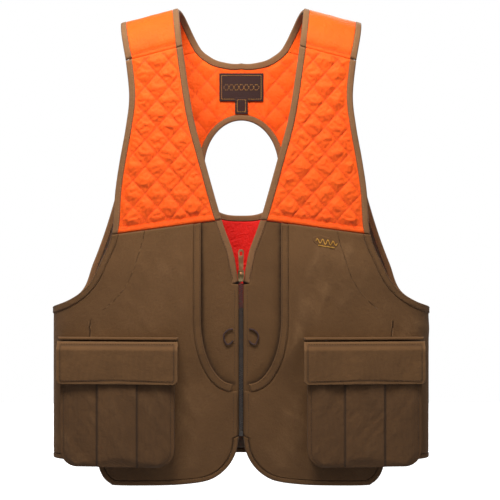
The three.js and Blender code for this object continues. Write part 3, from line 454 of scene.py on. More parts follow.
def new_mesh(name, points, faces, pattern=None):
    """A mesh in metres from the hang point, from points in the form's frame."""
    mesh = bpy.data.meshes.new(name)
    mesh.from_pydata(((points - HANG) / 1000).tolist(), [], faces)
    mesh.update()
    if pattern is not None:
        attribute = mesh.attributes.new("pattern", "FLOAT_VECTOR", "POINT")
        attribute.data.foreach_set("vector", (pattern / 1000).astype(np.float32).ravel())
    return mesh


def put(name, data, material):
    """An object in the scene with that mesh or curve."""
    obj = bpy.data.objects.new(name, data)
    bpy.context.scene.collection.objects.link(obj)
    data.materials.append(material)
    return obj


def piece(name, points, faces, material, cad, pattern, seam, wear):
    """A cloth piece that replaces one CAD node."""
    mesh = new_mesh(name, points.reshape(-1, 3), faces.tolist(), pattern.reshape(-1, 3))
    mesh.polygons.foreach_set("use_smooth", np.ones(len(mesh.polygons), bool))
    # Stored on the mesh: the painted shade mask and the wear mask.
    for key, values in (("seam", seam), ("wear", wear)):
        if values is not None:
            attribute = mesh.attributes.new(key, "FLOAT", "POINT")
            attribute.data.foreach_set("value", values.astype(np.float32).ravel())
    obj = put(name, mesh, material)
    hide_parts(cad)
    return obj


def slab_faces(rows, columns, ring=False):
    """Faces of a closed slab: inner layer first, then outer, rows by columns each."""
    at = np.arange(2 * rows * columns).reshape(2, rows, columns)
    if ring:
        at = np.concatenate([at, at[:, :1]], 1)
    low, top = at
    quads = [
        np.stack([top[:-1, :-1], top[:-1, 1:], top[1:, 1:], top[1:, :-1]], -1).reshape(-1, 4),
        np.stack([low[:-1, :-1], low[1:, :-1], low[1:, 1:], low[:-1, 1:]], -1).reshape(-1, 4),
        np.stack([low[:-1, 0], top[:-1, 0], top[1:, 0], low[1:, 0]], -1),
        np.stack([low[:-1, -1], low[1:, -1], top[1:, -1], top[:-1, -1]], -1),
    ]
    if not ring:
        quads.append(np.stack([low[0, :-1], low[0, 1:], top[0, 1:], top[0, :-1]], -1))
        quads.append(np.stack([low[-1, :-1], top[-1, :-1], top[-1, 1:], low[-1, 1:]], -1))
    return np.concatenate(quads)


def outward(points, faces):
    """Faces turned round if the volume they hold comes out negative."""
    p = points.reshape(-1, 3)
    a, b, c, d = (p[faces[:, k]] for k in range(4))
    volume = np.sum(a * np.cross(b, c)) + np.sum(a * np.cross(c, d))
    return faces if volume > 0 else faces[:, ::-1]


def edge_depth(grid_points, ring=False):
    """Distance in from the border of a grid of points, in millimetres."""
    def run(axis):
        steps = np.linalg.norm(np.diff(grid_points, axis=axis), axis=-1)
        zero = np.zeros_like(np.take(steps, [0], axis))
        along = np.cumsum(np.concatenate([zero, steps], axis), axis)
        return np.minimum(along, np.take(along, [-1], axis) - along)

    across = run(1)
    return across if ring else np.minimum(run(0), across)


def distance_to(at, spots):
    """Straight distance of each point of a grid from the nearest spot."""
    near = np.full(at.shape[:2], 1e3)
    for p in spots:
        near = np.minimum(near, np.linalg.norm(at - p, axis=-1))
    return near


def from_border(at):
    """Distance of each point of a grid from the grid's border, zero in its first 2 mm."""
    return np.maximum(distance_to(at, np.concatenate([at[0], at[-1], at[:, 0], at[:, -1]])) - 2, 0)


def slab(name, inner, outer, material, cad, pattern=None, seam=None, wear=None, ring=False,
         slot=None):
    """A closed piece between two grids, with its border rounded off."""
    depth = edge_depth((inner + outer) / 2, ring)
    share = 1 - 0.72 * (1 - np.clip(depth / ROUND_OFF, 0, 1)) ** 2
    middle, half = (inner + outer) / 2, (outer - inner) / 2
    points = np.stack([middle - half * share[..., None], middle + half * share[..., None]])
    faces = outward(points, slab_faces(*inner.shape[:2], ring))
    if pattern is None:
        pattern = middle
    both = lambda a: None if a is None else np.stack([a, a])
    return piece(name, points, faces, material, cad, both(pattern), both(seam), both(wear))


def cloth(name, side, rows, inner, outer, material, cad, **more):
    """A slab draped on the form from rows of +X pattern points, turned over for side -1."""
    uv = rows * [side, 1] if side < 0 else rows
    spread = lambda lift: np.broadcast_to(np.asarray(lift, float), uv.shape[:2])
    pattern = np.concatenate([uv, np.zeros((*uv.shape[:2], 1))], -1)
    layers = lifted(uv, spread(inner)), lifted(uv, spread(outer))
    return slab(name, *layers, material, cad, pattern=pattern, **more)


def fine_shares(count):
    """Even steps from 0 to 1 with three short ones at each end, for a rounded border."""
    tight = np.array([0.15, 0.45]) / count
    even = np.linspace(0, 1, count + 1)
    return np.sort(np.r_[even, tight, 1 - tight])


def strip(name, side, near, far, inner, outer, material, cad, domed=0.55, **more):
    """A narrow band between two curves, domed across like folded tape. inner and outer are
    lifts, or give one for pattern points."""
    shares = fine_shares(STRIP_COLUMNS)
    rows = rows_between(near, far, shares)
    dome = np.sqrt(np.clip(1 - (2 * shares - 1) ** 4, 0, 1))
    inner, outer = (lift(rows) if callable(lift) else lift for lift in (inner, outer))
    middle = (inner + outer) / 2
    flat = 1 - domed
    lift_out = middle + (outer - middle) * (flat + domed * dome)
    lift_in = middle - (middle - inner) * (flat + domed * dome)
    x, z = rows[..., 0], rows[..., 1]
    pucker = 0.22 * noise(x, z, 5, 3) + 0.3 * noise(x, z, 22, 4)
    return cloth(name, side, rows, lift_in + 0 * x, lift_out + pucker, material, cad, **more)


def stitches(name, lines, material, length=2.6, gap=1.3, radius=0.42):
    """Rows of thread: each line is (points, normals) along a seam, in millimetres."""
    points, faces = [], []
    angles = np.linspace(0, 2 * math.pi, 6)[:-1]
    ends = np.linspace(-0.5, 0.5, 4)
    for line, normal in lines:
        total = np.linalg.norm(np.diff(line, axis=0), axis=1).sum()
        count = max(1, int(total / (length + gap)))
        both = respaced(np.concatenate([line, normal], 1), count)
        at, up = both[:, :3], both[:, 3:]
        middle, out = (at[1:] + at[:-1]) / 2, (up[1:] + up[:-1]) / 2
        along = at[1:] - at[:-1]
        along /= np.linalg.norm(along, axis=1, keepdims=True) + 1e-9
        out -= along * np.sum(out * along, 1, keepdims=True)
        out /= np.linalg.norm(out, axis=1, keepdims=True) + 1e-9
        beside = np.cross(along, out)
        for m, a, o, b in zip(middle, along, out, beside):
            start = len(points)
            for e in ends:
                r = radius * (0.35 if abs(e) > 0.4 else 1)
                sink = -0.35 * radius if abs(e) > 0.4 else 0.25 * radius
                for g in angles:
                    up, across = math.sin(g) * r + sink, math.cos(g) * r
                    points.append(m + a * e * length + o * up + b * across)
            for k in range(3):
                for i in range(5):
                    j = (i + 1) % 5
                    c = start + 5 * k
                    faces.append((c + i, c + j, c + 5 + j, c + 5 + i))
            faces.append(tuple(start + i for i in range(4, -1, -1)))
            faces.append(tuple(start + 15 + i for i in range(5)))
    points = np.array(points)
    return put(name, new_mesh(name, points, faces, points), material)


def seam_line(side, uv, lift):
    """A stitch line on the form: points and normals from pattern points."""
    uv = uv * [side, 1] if side < 0 else uv
    lift = np.broadcast_to(np.asarray(lift, float), uv.shape[:1])
    return lifted(uv, lift), normals(uv[:, 0], uv[:, 1])


# ---- How pieces follow the bodies --------------------------------------------------------
def attach(obj, how, name=None, side=0):
    """how is a body to follow, or "yoke" for cloth between shoulder and front or "side" at a side
    seam, which are baked in place and follow no body.
    """
    if how == "yoke":
        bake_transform(obj)
    elif how == "side":
        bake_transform(obj)
    else:
        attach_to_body(obj, how)
    return obj


def sew(name, lines, thread, *how):
    attach(stitches(name, lines, thread), *how)


# ---- Quilting ----------------------------------------------------------------------------
DIAMOND = (36.0, 40.0)
LINE_GAP = 1 / math.hypot(1 / DIAMOND[0], 1 / DIAMOND[1])


def quilt(x, z):
    """Fullness from 0 on a quilting line to 1 mid diamond, and distance to the line."""
    a, b = x / DIAMOND[0] + z / DIAMOND[1], x / DIAMOND[0] - z / DIAMOND[1]
    sa, sb = np.abs(np.sin(math.pi * a)), np.abs(np.sin(math.pi * b))
    return (sa * sb) ** 0.42, LINE_GAP / math.pi * np.arcsin(np.minimum(sa, sb))


def quilted(x, z, depth, inside, seed, rise):
    """Lift, puff, folds and painted shade along the quilting lines of quilted cloth, and the
    distance to its lines.
    """
    full, line = quilt(x, z)
    puff = full * inside
    fold = wrinkles(x, z, seed, 34)
    lift = 1.7 + 1.1 * (1 - smooth(depth / 9)) + rise * puff + 0.7 * fold * inside
    # The fourth value is painted shade, darkest on the quilting lines.
    return lift, puff, fold * inside, np.exp(-((line / 0.9) ** 2)) * 0.75 * smooth(depth / 3), line


def inflate(points, pinned, out, pressure=4.0, frames=14, most=6.0):
    """Cloth simulation of a padded sheet sewn down where pinned is 1. Returns how far each
    point moved, in millimetres, no further than most."""
    rows, columns = points.shape[:2]
    at = np.arange(rows * columns).reshape(rows, columns)
    quads = np.stack([at[:-1, :-1], at[:-1, 1:], at[1:, 1:], at[1:, :-1]], -1).reshape(-1, 4)
    normal = np.cross(points[1, 0] - points[0, 0], points[0, 1] - points[0, 0])
    if np.dot(normal, out[0, 0]) > 0:
        quads = quads[:, ::-1]
    mesh = bpy.data.meshes.new("padding")
    mesh.from_pydata((points.reshape(-1, 3) / 1000).tolist(), [], quads.tolist())
    obj = bpy.data.objects.new("padding", mesh)
    scene = bpy.context.scene
    scene.collection.objects.link(obj)
    group = obj.vertex_groups.new(name="pin")
    group.add(np.flatnonzero(pinned.ravel() > 0.5).tolist(), 1.0, "REPLACE")
    cloth_modifier = obj.modifiers.new("Cloth", "CLOTH")
    s = cloth_modifier.settings
    s.vertex_group_mass, s.quality, s.mass = "pin", 5, 0.2
    s.tension_stiffness = s.compression_stiffness = 12
    s.bending_stiffness = 0.15
    s.use_pressure, s.uniform_pressure_force = True, pressure
    s.shrink_min = -0.05
    s.effector_weights.gravity = 0
    cloth_modifier.collision_settings.use_collision = False
    cloth_modifier.point_cache.frame_start, cloth_modifier.point_cache.frame_end = 1, frames
    for frame_number in range(1, frames + 1):
        scene.frame_set(frame_number)
    evaluated = obj.evaluated_get(bpy.context.evaluated_depsgraph_get())
    moved = np.empty(rows * columns * 3, np.float32)
    evaluated.data.vertices.foreach_get("co", moved)
    scene.frame_set(1)
    bpy.data.objects.remove(obj)
    shift = moved.reshape(points.shape) * 1000.0 - points
    length = np.linalg.norm(shift, axis=-1, keepdims=True)
    return shift * np.minimum(1, most / np.maximum(length, 1e-6))


def crossing_u(curve, v):
    half = curve[: np.argmin(np.abs(curve[:, 0])) + 1] if curve[-1, 0] < 0 else curve
    return np.interp(v, half[:, 1], half[:, 0])


neck_inset = offset(back_neck, -INSET)
arm_inset = offset(back_arm, INSET)


def front_yoke(name, side):
    left, right = neck_upper(INSET, 120), arm_upper(INSET, 120)
    rows = rows_between(left, right, fine_shares(66))
    foot = rows[-1]
    shift = on_yoke_edge(foot[:, 0], SEAM / 2)[:, 1] - foot[:, 1]
    rows[-16:, :, 1] += np.linspace(0, 1, 16)[:, None] ** 2 * shift
    at, x, z = placed(rows)
    depth = edge_depth(at)
    above = z - yoke_edge(x)
    band = 1 - smooth((above - 7) / 1.6)
    inside = smooth(depth / 12) * smooth((above - 8) / 10)
    lift, puff, _, seam, line = quilted(x, z, depth, inside, 11 + side, 4.2)
    lift = lift * (1 - band) + (4.3 + 0.3 * noise(x, z, 9, 8)) * band
    uv = rows * [side, 1]
    outer = lifted(uv, lift)
    pinned = (line < 1.6) | (depth < 5) | (above < 9)
    outer = outer + inflate(outer, pinned, normals(uv[..., 0], uv[..., 1]))
    inner = lifted(uv, 0.5 - 0.9 * puff)
    pattern = np.concatenate([rows, 0 * rows[..., :1]], -1)
    # Painted shade along the quilting lines, left off the hem band.
    obj = slab(f"{name}_yoke_quilt", inner, outer, ORANGE, f"{name}_front_yoke",
               pattern=pattern, seam=seam * (1 - band))
    attach(obj, "yoke", name, side)
    line_uv = on_yoke_edge(foot[:, 0], 7.4)[3:-3]
    thread = stitches(f"{name}_yoke_hem_stitch", [seam_line(side, line_uv, 4.2)], ORANGE_THREAD)
    attach(thread, "yoke", name, side)


def saddle(name, side):
    v = np.linspace(-SEAM_V - 3 * LAP, SEAM_V + 3 * LAP, 90)
    near = np.stack([crossing_u(neck_inset, v), v], -1)
    far = np.stack([crossing_u(arm_inset, v), v], -1)
    rows = rows_between(near, far, fine_shares(34))
    x, down = rows[..., 0], rows[..., 1]
    from_seam = SEAM_V - np.abs(down)
    crown = smooth(from_seam / 16)
    lift = 2.9 + 2.0 * crown + 0.8 * noise(x, down, 26, 5) * crown + 0.35 * noise(x, down, 9, 6)
    lift = lift - 1.1 * np.exp(-(((from_seam - 6) / 1.6) ** 2))
    obj = cloth(f"{name}_saddle_cloth", side, rows, 0.3, lift, ORANGE, f"{name}_shoulder_saddle")
    attach(obj, "back")
    lines = []
    for face in (-1, 1):
        line = np.full(60, face * (SEAM_V - 6))
        u = np.linspace(crossing_u(neck_inset, line[0]) + 1, crossing_u(arm_inset, line[0]) - 1, 60)
        lines.append(seam_line(side, np.stack([u, line], -1), 3.9))
    sew(f"{name}_saddle_stitch", lines, ORANGE_THREAD, "back")


BACK_SEAM_Z, VENT_HALF, VENT_TOP, VENT_MIDDLE, VENT_LOW = 430, 58, 558, 484, 409


def vent(grow, count=400):
    angle = np.arange(count) / count * 2 * math.pi - math.pi / 2
    c, s = np.cos(angle), np.sin(angle)
    power = np.where(s < 0, 2 / 3, 1)
    rise = np.where(s < 0, VENT_MIDDLE - VENT_LOW, VENT_TOP - VENT_MIDDLE) + grow
    x = (VENT_HALF + grow) * np.sign(c) * np.abs(c) ** power
    return back(x, VENT_MIDDLE + rise * np.sign(s) * np.abs(s) ** power)


def label_flat(x, z):
    """1 over the label, where the quilting behind it is pressed flat."""
    return smooth((42 - np.abs(x)) / 8) * smooth((640 - z) / 8) * smooth((z - 560) / 8)


def back_yoke():
    v = SEAM_V + SEAM
    over = lambda p: height_of(p) - BACK_SEAM_Z - SEAM / 2
    arm = clipped(arm_inset[arm_inset[:, 1] > v], over)[::-1]
    top = np.linspace(crossing_u(arm_inset, v), crossing_u(neck_inset, v), 40)
    top = np.stack([top, np.full(40, v)], -1)
    neck = neck_inset[(neck_inset[:, 1] > v) & (neck_inset[:, 0] > 0)]
    half = np.concatenate([arm, top, neck])
    outer = respaced(np.concatenate([half, mirrored(half)]), 300)
    hole = respaced(clipped(vent(INSET), over), 300)
    rows = rows_between(outer, hole, fine_shares(34))
    at, x, z = placed(rows)
    depth = edge_depth(at)
    lift, puff, fold, seam, _ = quilted(x, z, depth, smooth(depth / 12), 21, 4.4)
    into = 0.9 - (3.4 * puff + 0.5 * fold) * (1 - label_flat(x, z))
    # Painted shade along the quilting lines.
    obj = cloth("back_yoke_quilt", 1, rows, into, lift, ORANGE, "back_yoke", seam=seam)
    attach(obj, "back")


LOW_Z = HEM_Z + HEM_BAND + SEAM
BAG_TOP_Z = UNDERARM_Z - BINDING + 1


def back_panel():
    under = lambda p: BACK_SEAM_Z + TUCK - height_of(p)
    edge = GIRTH - SEAM
    arm = clipped(arm_inset[arm_inset[:, 1] > SEAM_V], under)
    arm[:, 0] = np.minimum(arm[:, 0], edge)
    corner = back_u(edge, LOW_Z)
    right = respaced(np.concatenate([arm, [[edge, arm[-1, 1] + 1]], corner[None]]), 150)
    left = right * [-1, 1]
    notch = clipped(np.roll(vent(INSET), 200, 0), under)
    notch = notch[np.argsort(notch[:, 0])]
    top = respaced(np.concatenate([left[:1], notch, right[:1]]), 170)
    bottom = back_u(edge * np.sin(np.linspace(-0.5, 0.5, 171) * math.pi), LOW_Z)
    rows = patch(top, bottom, left, right)
    at, x, z = placed(rows)
    fold = 1.1 * wrinkles(x, z, 31, 80) * smooth(from_border(at) / 25)
    from_arm = distance_to(at, np.concatenate([at[:, 0], at[:, -1]]))
    bagged = np.maximum(smooth((BAG_TOP_Z + 6 - z) / 3), smooth((34 - from_arm) / 3))
    # The back panel is cut in the deep red, painted shade copy of the orange cloth.
    obj = cloth("back_lining_panel", 1, rows, fold, 1.2 + fold, SHADED_LINING, "back_panel",
                wear=2 * bagged)
    attach(obj, "back")


def bag_lift(lift):
    def at(uv):
        z = height_of(uv)
        across = smooth(1.35 * (1 - np.abs(uv[..., 0]) / GIRTH))
        fall = smooth((BAG_TOP_Z - z) / 90)
        return lift + 17 * across * (0.25 + 0.75 * fall) * smooth((z + 60) / 150)

    return at


def game_bag():
    u = GIRTH * np.sin(np.linspace(-0.5, 0.5, 190) * math.pi) * (1 + LAP / GIRTH)
    z = np.linspace(LOW_Z, BAG_TOP_Z - INSET, 90)
    rows = back_u(*np.meshgrid(u, z))
    at, x, up = placed(rows)
    inside = smooth(from_border(at) / 22)
    fold = 2.2 * wrinkles(x, up, 41, 90, 0.35) * inside
    fold = fold + 1.1 * wrinkles(x, up, 45, 36, -0.5) * inside
    lift = bag_lift(BAG_OUT)(rows) + fold
    wear = smooth(fold / 3) * 0.5
    obj = cloth("game_bag_cloth", 1, rows, lift - 1.4, lift, CANVAS, "game_bag", wear=wear)
    attach(obj, "back")
    edge = lambda z_at: back_u(u, z_at)
    binding = strip("bag_binding_tape", 1, edge(BAG_TOP_Z), edge(BAG_TOP_Z - BINDING),
                    bag_lift(BAG_IN - 1), bag_lift(BAG_OUT + 1), TAPE, "game_bag_binding")
    attach(binding, "back")
    hem = strip("back_hem_fold", 1, edge(LOW_Z - SEAM), edge(HEM_Z), 0, bag_lift(BAG_OUT), CANVAS,
                "back_hem")
    attach(hem, "back")

    def sewn(z_at, lift):
        line = back_u(u[4:-4], z_at)
        return seam_line(1, line, bag_lift(lift)(line))

    sew("bag_binding_stitch", [sewn(BAG_TOP_Z - 7.6, BAG_OUT + 0.6)], PALE_THREAD, "back")
    sew("back_hem_stitch", [sewn(LOW_Z + 1.5, BAG_OUT + 0.1)], THREAD, "back")


def inner_line(uv):
    """A stitch line on a binding's inner face."""
    return lifted(uv, TAPE_IN + 0.4 + 0 * uv[:, 0]), -normals(uv[:, 0], uv[:, 1])


def bindings():
    neck = strip("neck_binding_tape", 1, back_neck, offset(back_neck, -BINDING), TAPE_IN, TAPE_OUT,
                 TAPE, "neck_binding")
    attach(neck, "back")
    ring = strip("vent_binding_tape", 1, vent(0), vent(BINDING), TAPE_IN, TAPE_OUT, TAPE,
                 "vent_binding", ring=True)
    attach(ring, "back")
    inset = offset(back_neck, TAPE_SEWN - BINDING)[3:-3]
    closed = vent(BINDING - TAPE_SEWN)
    closed = np.concatenate([closed, closed[:1]])
    lines = [seam_line(1, c, TAPE_OUT - 0.5) for c in (inset, closed)]
    inner = [inner_line(c) for c in (inset, closed)]
    sew("back_binding_stitch", lines + inner, PALE_THREAD, "back")
    for name, side in SIDES:
        tape = strip(f"{name}_back_arm_tape", side, back_arm, offset(back_arm, BINDING), TAPE_IN,
                     TAPE_OUT, TAPE, f"{name}_back_arm_binding")
        attach(tape, "back")
        line = offset(back_arm, BINDING - TAPE_SEWN)[3:-3]
        sewn = [seam_line(side, line, TAPE_OUT - 0.5), inner_line(line * [side, 1])]
        sew(f"{name}_back_arm_stitch", sewn, PALE_THREAD, "back")


# ---- Front shells ------------------------------------------------------------------------
def shell_lift(lift):
    """The outer shell closes up to the inner one under the yoke."""
    def at(uv):
        below = yoke_edge(width_at(uv[..., 0])) - height_of(uv)
        return lift - 3.8 * (1 - smooth(below / 60))

    return at


MOUTH_X, MOUTH_BEND_Z = 60, 252
_q = np.linspace(0, math.pi / 2, 24)
tail_u = girth_at(EDGE_U + 66 * (1 - np.cos(_q)))
tail = front_u(tail_u, ZIP_BOTTOM_Z - (ZIP_BOTTOM_Z - 5) * np.sin(_q))
tail_end = front(185 + 30 * np.sin(_q), 38 * (1 - np.cos(_q)))
_t = np.linspace(0, 1, 16)
side_start = girth_at(222)
side_hem = front_u(side_start + _t * (GIRTH + LAP - side_start), 38 - 5 * (1 - _t) ** 3)
low_run = [front(85, 2.5), front(120, 0.5)]
hem = spline([*tail[::4], *low_run, *tail_end[::6], tail_end[-1], *side_hem[::3]], 300)
hem_band = offset(hem, HEM_BAND)
hem_band[0] = (EDGE_U + HEM_BAND, hem[0, 1])
hem_top = hem[0, 1] + 0.5
inset = offset(hem, HEM_BAND + SEAM)
inset[:, 0] = np.minimum(inset[:, 0], GIRTH + LAP)
TAIL_SPLIT = int(np.argmin(np.abs(hem[:, 0] - girth_at(70))))
mouth_top = on_yoke_edge(girth_at(MOUTH_X), -SEAM / 2)
mouth = np.concatenate([
    mouth_top[None],
    front(MOUTH_X, MOUTH_BEND_Z)[None],
    front(11.6 + (MOUTH_X - 11.6) * np.cos(_q[1:]), MOUTH_BEND_Z - 98 * np.sin(_q[1:])),
])
mouth = respaced(mouth, 160)


def shell_rows(inner, arm, level=None):
    """A front's grid of pattern points. level is the share of the side edge that faces the
    inner edge's corner, so that the rows don't cross there."""
    corner = inset[-1]
    turn = [(EDGE_U + HEM_BAND + SEAM, hem_top)]
    left = respaced(np.concatenate([inner, turn, inset[2 : TAIL_SPLIT + 1]]), 150)
    side_top = np.array([GIRTH + LAP, arm[-1, 1]])
    run = respaced(np.concatenate([arm[:-1], [side_top, corner]]), 1500)
    shares = np.linspace(0, 1, len(left))
    if level:
        bend = np.argmin(np.linalg.norm(left - inner[-2], axis=1)) / (len(left) - 1)
        shares = np.interp(shares, [0, bend, 1], [0, level, 1])
    right = run[np.round(shares * 1499).astype(int)]
    bottom = respaced(inset[TAIL_SPLIT:], 100)
    wide = right[0, 0] - left[0, 0]
    u = left[0, 0] + wide * (bottom[:, 0] - bottom[0, 0]) / np.ptp(bottom[:, 0])
    top = on_yoke_edge(u, -SEAM / 2)
    top[0], top[-1] = left[0], right[0]
    return patch(top, bottom, left, right)


def gape_at(z):
    """How far the mouth's edge stands out at a height, most in the middle of its run."""
    return 3.5 * smooth((370 - z) / 90) * smooth((z - 150) / 60)


def gaping(lift):
    return lambda uv: shell_lift(lift)(uv) + gape_at(height_of(uv))


def shells(name, side):
    neck = neck_lower(INSET, 60)
    zip_top = front_u(EDGE_U, ZIP_TOP_Z - BINDING / 2)
    foot = np.array([EDGE_U, hem_top])
    rows = shell_rows(np.concatenate([neck, [zip_top, foot]]), arm_lower(INSET, 80))
    at, x, z = placed(rows)
    inside = smooth(from_border(at) / 18)
    fold = 0.9 * wrinkles(x, z, 51 + side, 60, 0.25) + 0.35 * wrinkles(x, z, 56, 22, -0.6)
    fold *= inside
    from_mouth = distance_to(rows, mouth[::2])
    sunk = 2.2 * np.exp(-((from_mouth / 9) ** 2)) * inside
    # Painted shadow of the mouth facing, cast on the inner cloth along the mouth's curve.
    shade = 0.85 * np.exp(-((from_mouth / 3.2) ** 2))
    fold -= 2.2 * smooth((np.abs(x) - 74) / 8) * inside
    obj = cloth(f"{name}_front_inner_cloth", side, rows, 0.3 + fold - sunk, 2 + fold - sunk, CANVAS,
                f"{name}_front_base", seam=shade)
    attach(obj, "side", name, side)

    edge = offset(mouth, FACING + SEAM)
    edge[0] = on_yoke_edge(edge[0, 0], -SEAM / 2)
    top = np.array([5.2, edge[-1, 1] - 1])
    inner = np.concatenate([edge, [top, (5.2, hem_top)]])
    rows = shell_rows(inner, arm_lower(FACING + SEAM, 80), 0.84)
    at, x, z = placed(rows)
    inside = smooth(from_border(at) / 16)
    drag = wrinkles(x, z, 61 + side, 70, -0.45 * side)
    drag = drag + 0.5 * wrinkles(x, z, 66 + side, 26, 0.7 * side)
    fold = 2.2 * (0.5 * (drag + np.sqrt(drag**2 + 0.2))) * inside
    gape = gape_at(z) * (1 - smooth(distance_to(rows, edge[::2]) / 42))
    lift = shell_lift(BAG_OUT)(rows) + fold + gape
    obj = cloth(f"{name}_front_outer_cloth", side, rows, lift - 1.6, lift, CANVAS,
                f"{name}_front_outer", wear=0.6 * smooth(fold / 2))
    attach(obj, "side", name, side)

    for what, curve, band, lifts in (
        ("mouth", mouth, offset(mouth, FACING), gaping),
        ("arm", arm_lower(0, 150), arm_lower(FACING, 150), shell_lift),
    ):
        obj = strip(f"{name}_{what}_facing_band", side, curve, band, lifts(BAG_IN - 0.4),
                    lifts(BAG_OUT + 1.3), CANVAS, f"{name}_{what}_facing", domed=0.25)
        attach(obj, "side", name, side)
        lines = []
        for share in (0.16, 0.8):
            line = (curve * (1 - share) + band * share)[2:-2]
            lines.append(seam_line(side, line, lifts(BAG_OUT + 1.2)(line)))
        sew(f"{name}_{what}_facing_stitch", lines, THREAD, "side", name, side)
    obj = strip(f"{name}_hem_fold", side, hem, hem_band, 0, BAG_OUT + 0.4, CANVAS,
                f"{name}_front_hem", domed=0.4)
    attach(obj, "side", name, side)
    line = offset(hem, 6.6)[3:-3]
    sew(f"{name}_hem_stitch", [seam_line(side, line, BAG_OUT + 0.2)], THREAD, "side", name, side)

    tape_lift = lambda uv: TAPE_LOW + 1.2 * smooth((height_of(uv) - ZIP_TOP_Z) / 18)
    obj = strip(f"{name}_neck_tape", side, neck_lower(0, 90), neck_lower(BINDING, 90), TAPE_IN,
                tape_lift, TAPE, f"{name}_front_neck_binding")
    attach(obj, f"{name}_front")
    obj = strip(f"{name}_arm_tape", side, arm_lower(0, 120), arm_lower(BINDING, 120), TAPE_IN,
                TAPE_LOW, TAPE, f"{name}_front_arm_binding")
    attach(obj, "side", name, side)
    for what, curve, band in (
        ("neck", neck_upper(0, 120), neck_upper(BINDING, 120)),
        ("arm", arm_upper(0, 120), arm_upper(BINDING, 120)),
    ):
        obj = strip(f"{name}_yoke_{what}_tape", side, curve, band, TAPE_IN, TAPE_OUT, TAPE,
                    f"{name}_yoke_{what}_binding")
        attach(obj, "yoke", name, side)
        line = (curve * 0.2 + band * 0.8)[2:-2]
        sewn = [seam_line(side, line, 4.8)]
        sew(f"{name}_yoke_{what}_stitch", sewn, PALE_THREAD, "yoke", name, side)
    z = np.linspace(ZIP_TOP_Z - 12, 165, 70)
    z_low = np.linspace(140, ZIP_BOTTOM_Z + 5, 40)
    line = neck_lower(BINDING - TAPE_SEWN, 90)[2:-6]
    lines = [seam_line(side, line, 3.1), seam_line(side, front_u(9.6 + 0 * z, z), 2.0),
             seam_line(side, front_u(11.4 + 0 * z_low, z_low), BAG_OUT + 0.2)]
    sew(f"{name}_edge_stitch", lines, THREAD, f"{name}_front")


# ---- Pockets -----------------------------------------------------------------------------
POCKET_IN, POCKET_WIDE, POCKET_LOW, POCKET_TOP, CORNER = 99.0, 172.0, 31.0, 207.0, 26.0
POCKET_OUT = POCKET_IN + POCKET_WIDE
POCKET_DEPTH, POCKET_TURN = 24, 20.0
POCKET_PLANE = depth_at(POCKET_TOP) + BAG_OUT + POCKET_DEPTH
FLAP_TOP, FLAP_LOW, FLAP_BACK, FLAP_STEP, FLAP_BEND = 219.0, 155.0, 7.0, 13.0, 14.0
FLAP_PAST = 5.0  # the flap reaches past the pocket on each side
SEWN_IN = 5.5  # seams run this far in from a border
FORWARD = (0.0, -1.0, 0.0)


def pocket_plane(x):
    return POCKET_PLANE - POCKET_TURN * (x - POCKET_IN) / POCKET_WIDE


def on_pocket(side, x, z, off):
    return np.stack([side * x, -(pocket_plane(x) + off), z + 0 * x], -1)


def rounded_grid(x0, x1, z0, z1, radius, columns, rows):
    """x and z of a rectangle's grid with two rounded lower corners."""
    low = z0 + radius * (1 - np.cos(np.linspace(0.06, math.pi / 2, rows // 4)))
    z = np.r_[z0, low, np.linspace(z0 + radius, z1, rows)[1:]]
    into = np.maximum(0, z0 + radius - z)
    cut = radius - np.sqrt(np.maximum(0, radius**2 - into**2))
    s = fine_shares(columns)
    x = x0 + cut[:, None] + s[None] * (x1 - x0 - 2 * cut)[:, None]
    return x, np.repeat(z[:, None], len(s), 1), s


def pocket_edge(into):
    """x and z along a pocket's sides and bottom, that far in from its border."""
    x0, x1, z0, r = POCKET_IN + into, POCKET_OUT - into, POCKET_LOW + into, CORNER - into
    angle = np.linspace(0, math.pi / 2, 14)

    def turn(cx, start):
        return np.stack([cx + r * np.cos(start + angle), z0 + r + r * np.sin(start + angle)], -1)

    top = POCKET_TOP - 4
    run = [[(x0, top)], turn(x0 + r, math.pi), turn(x1 - r, 1.5 * math.pi), [(x1, top)]]
    return respaced(np.concatenate(run), 150)


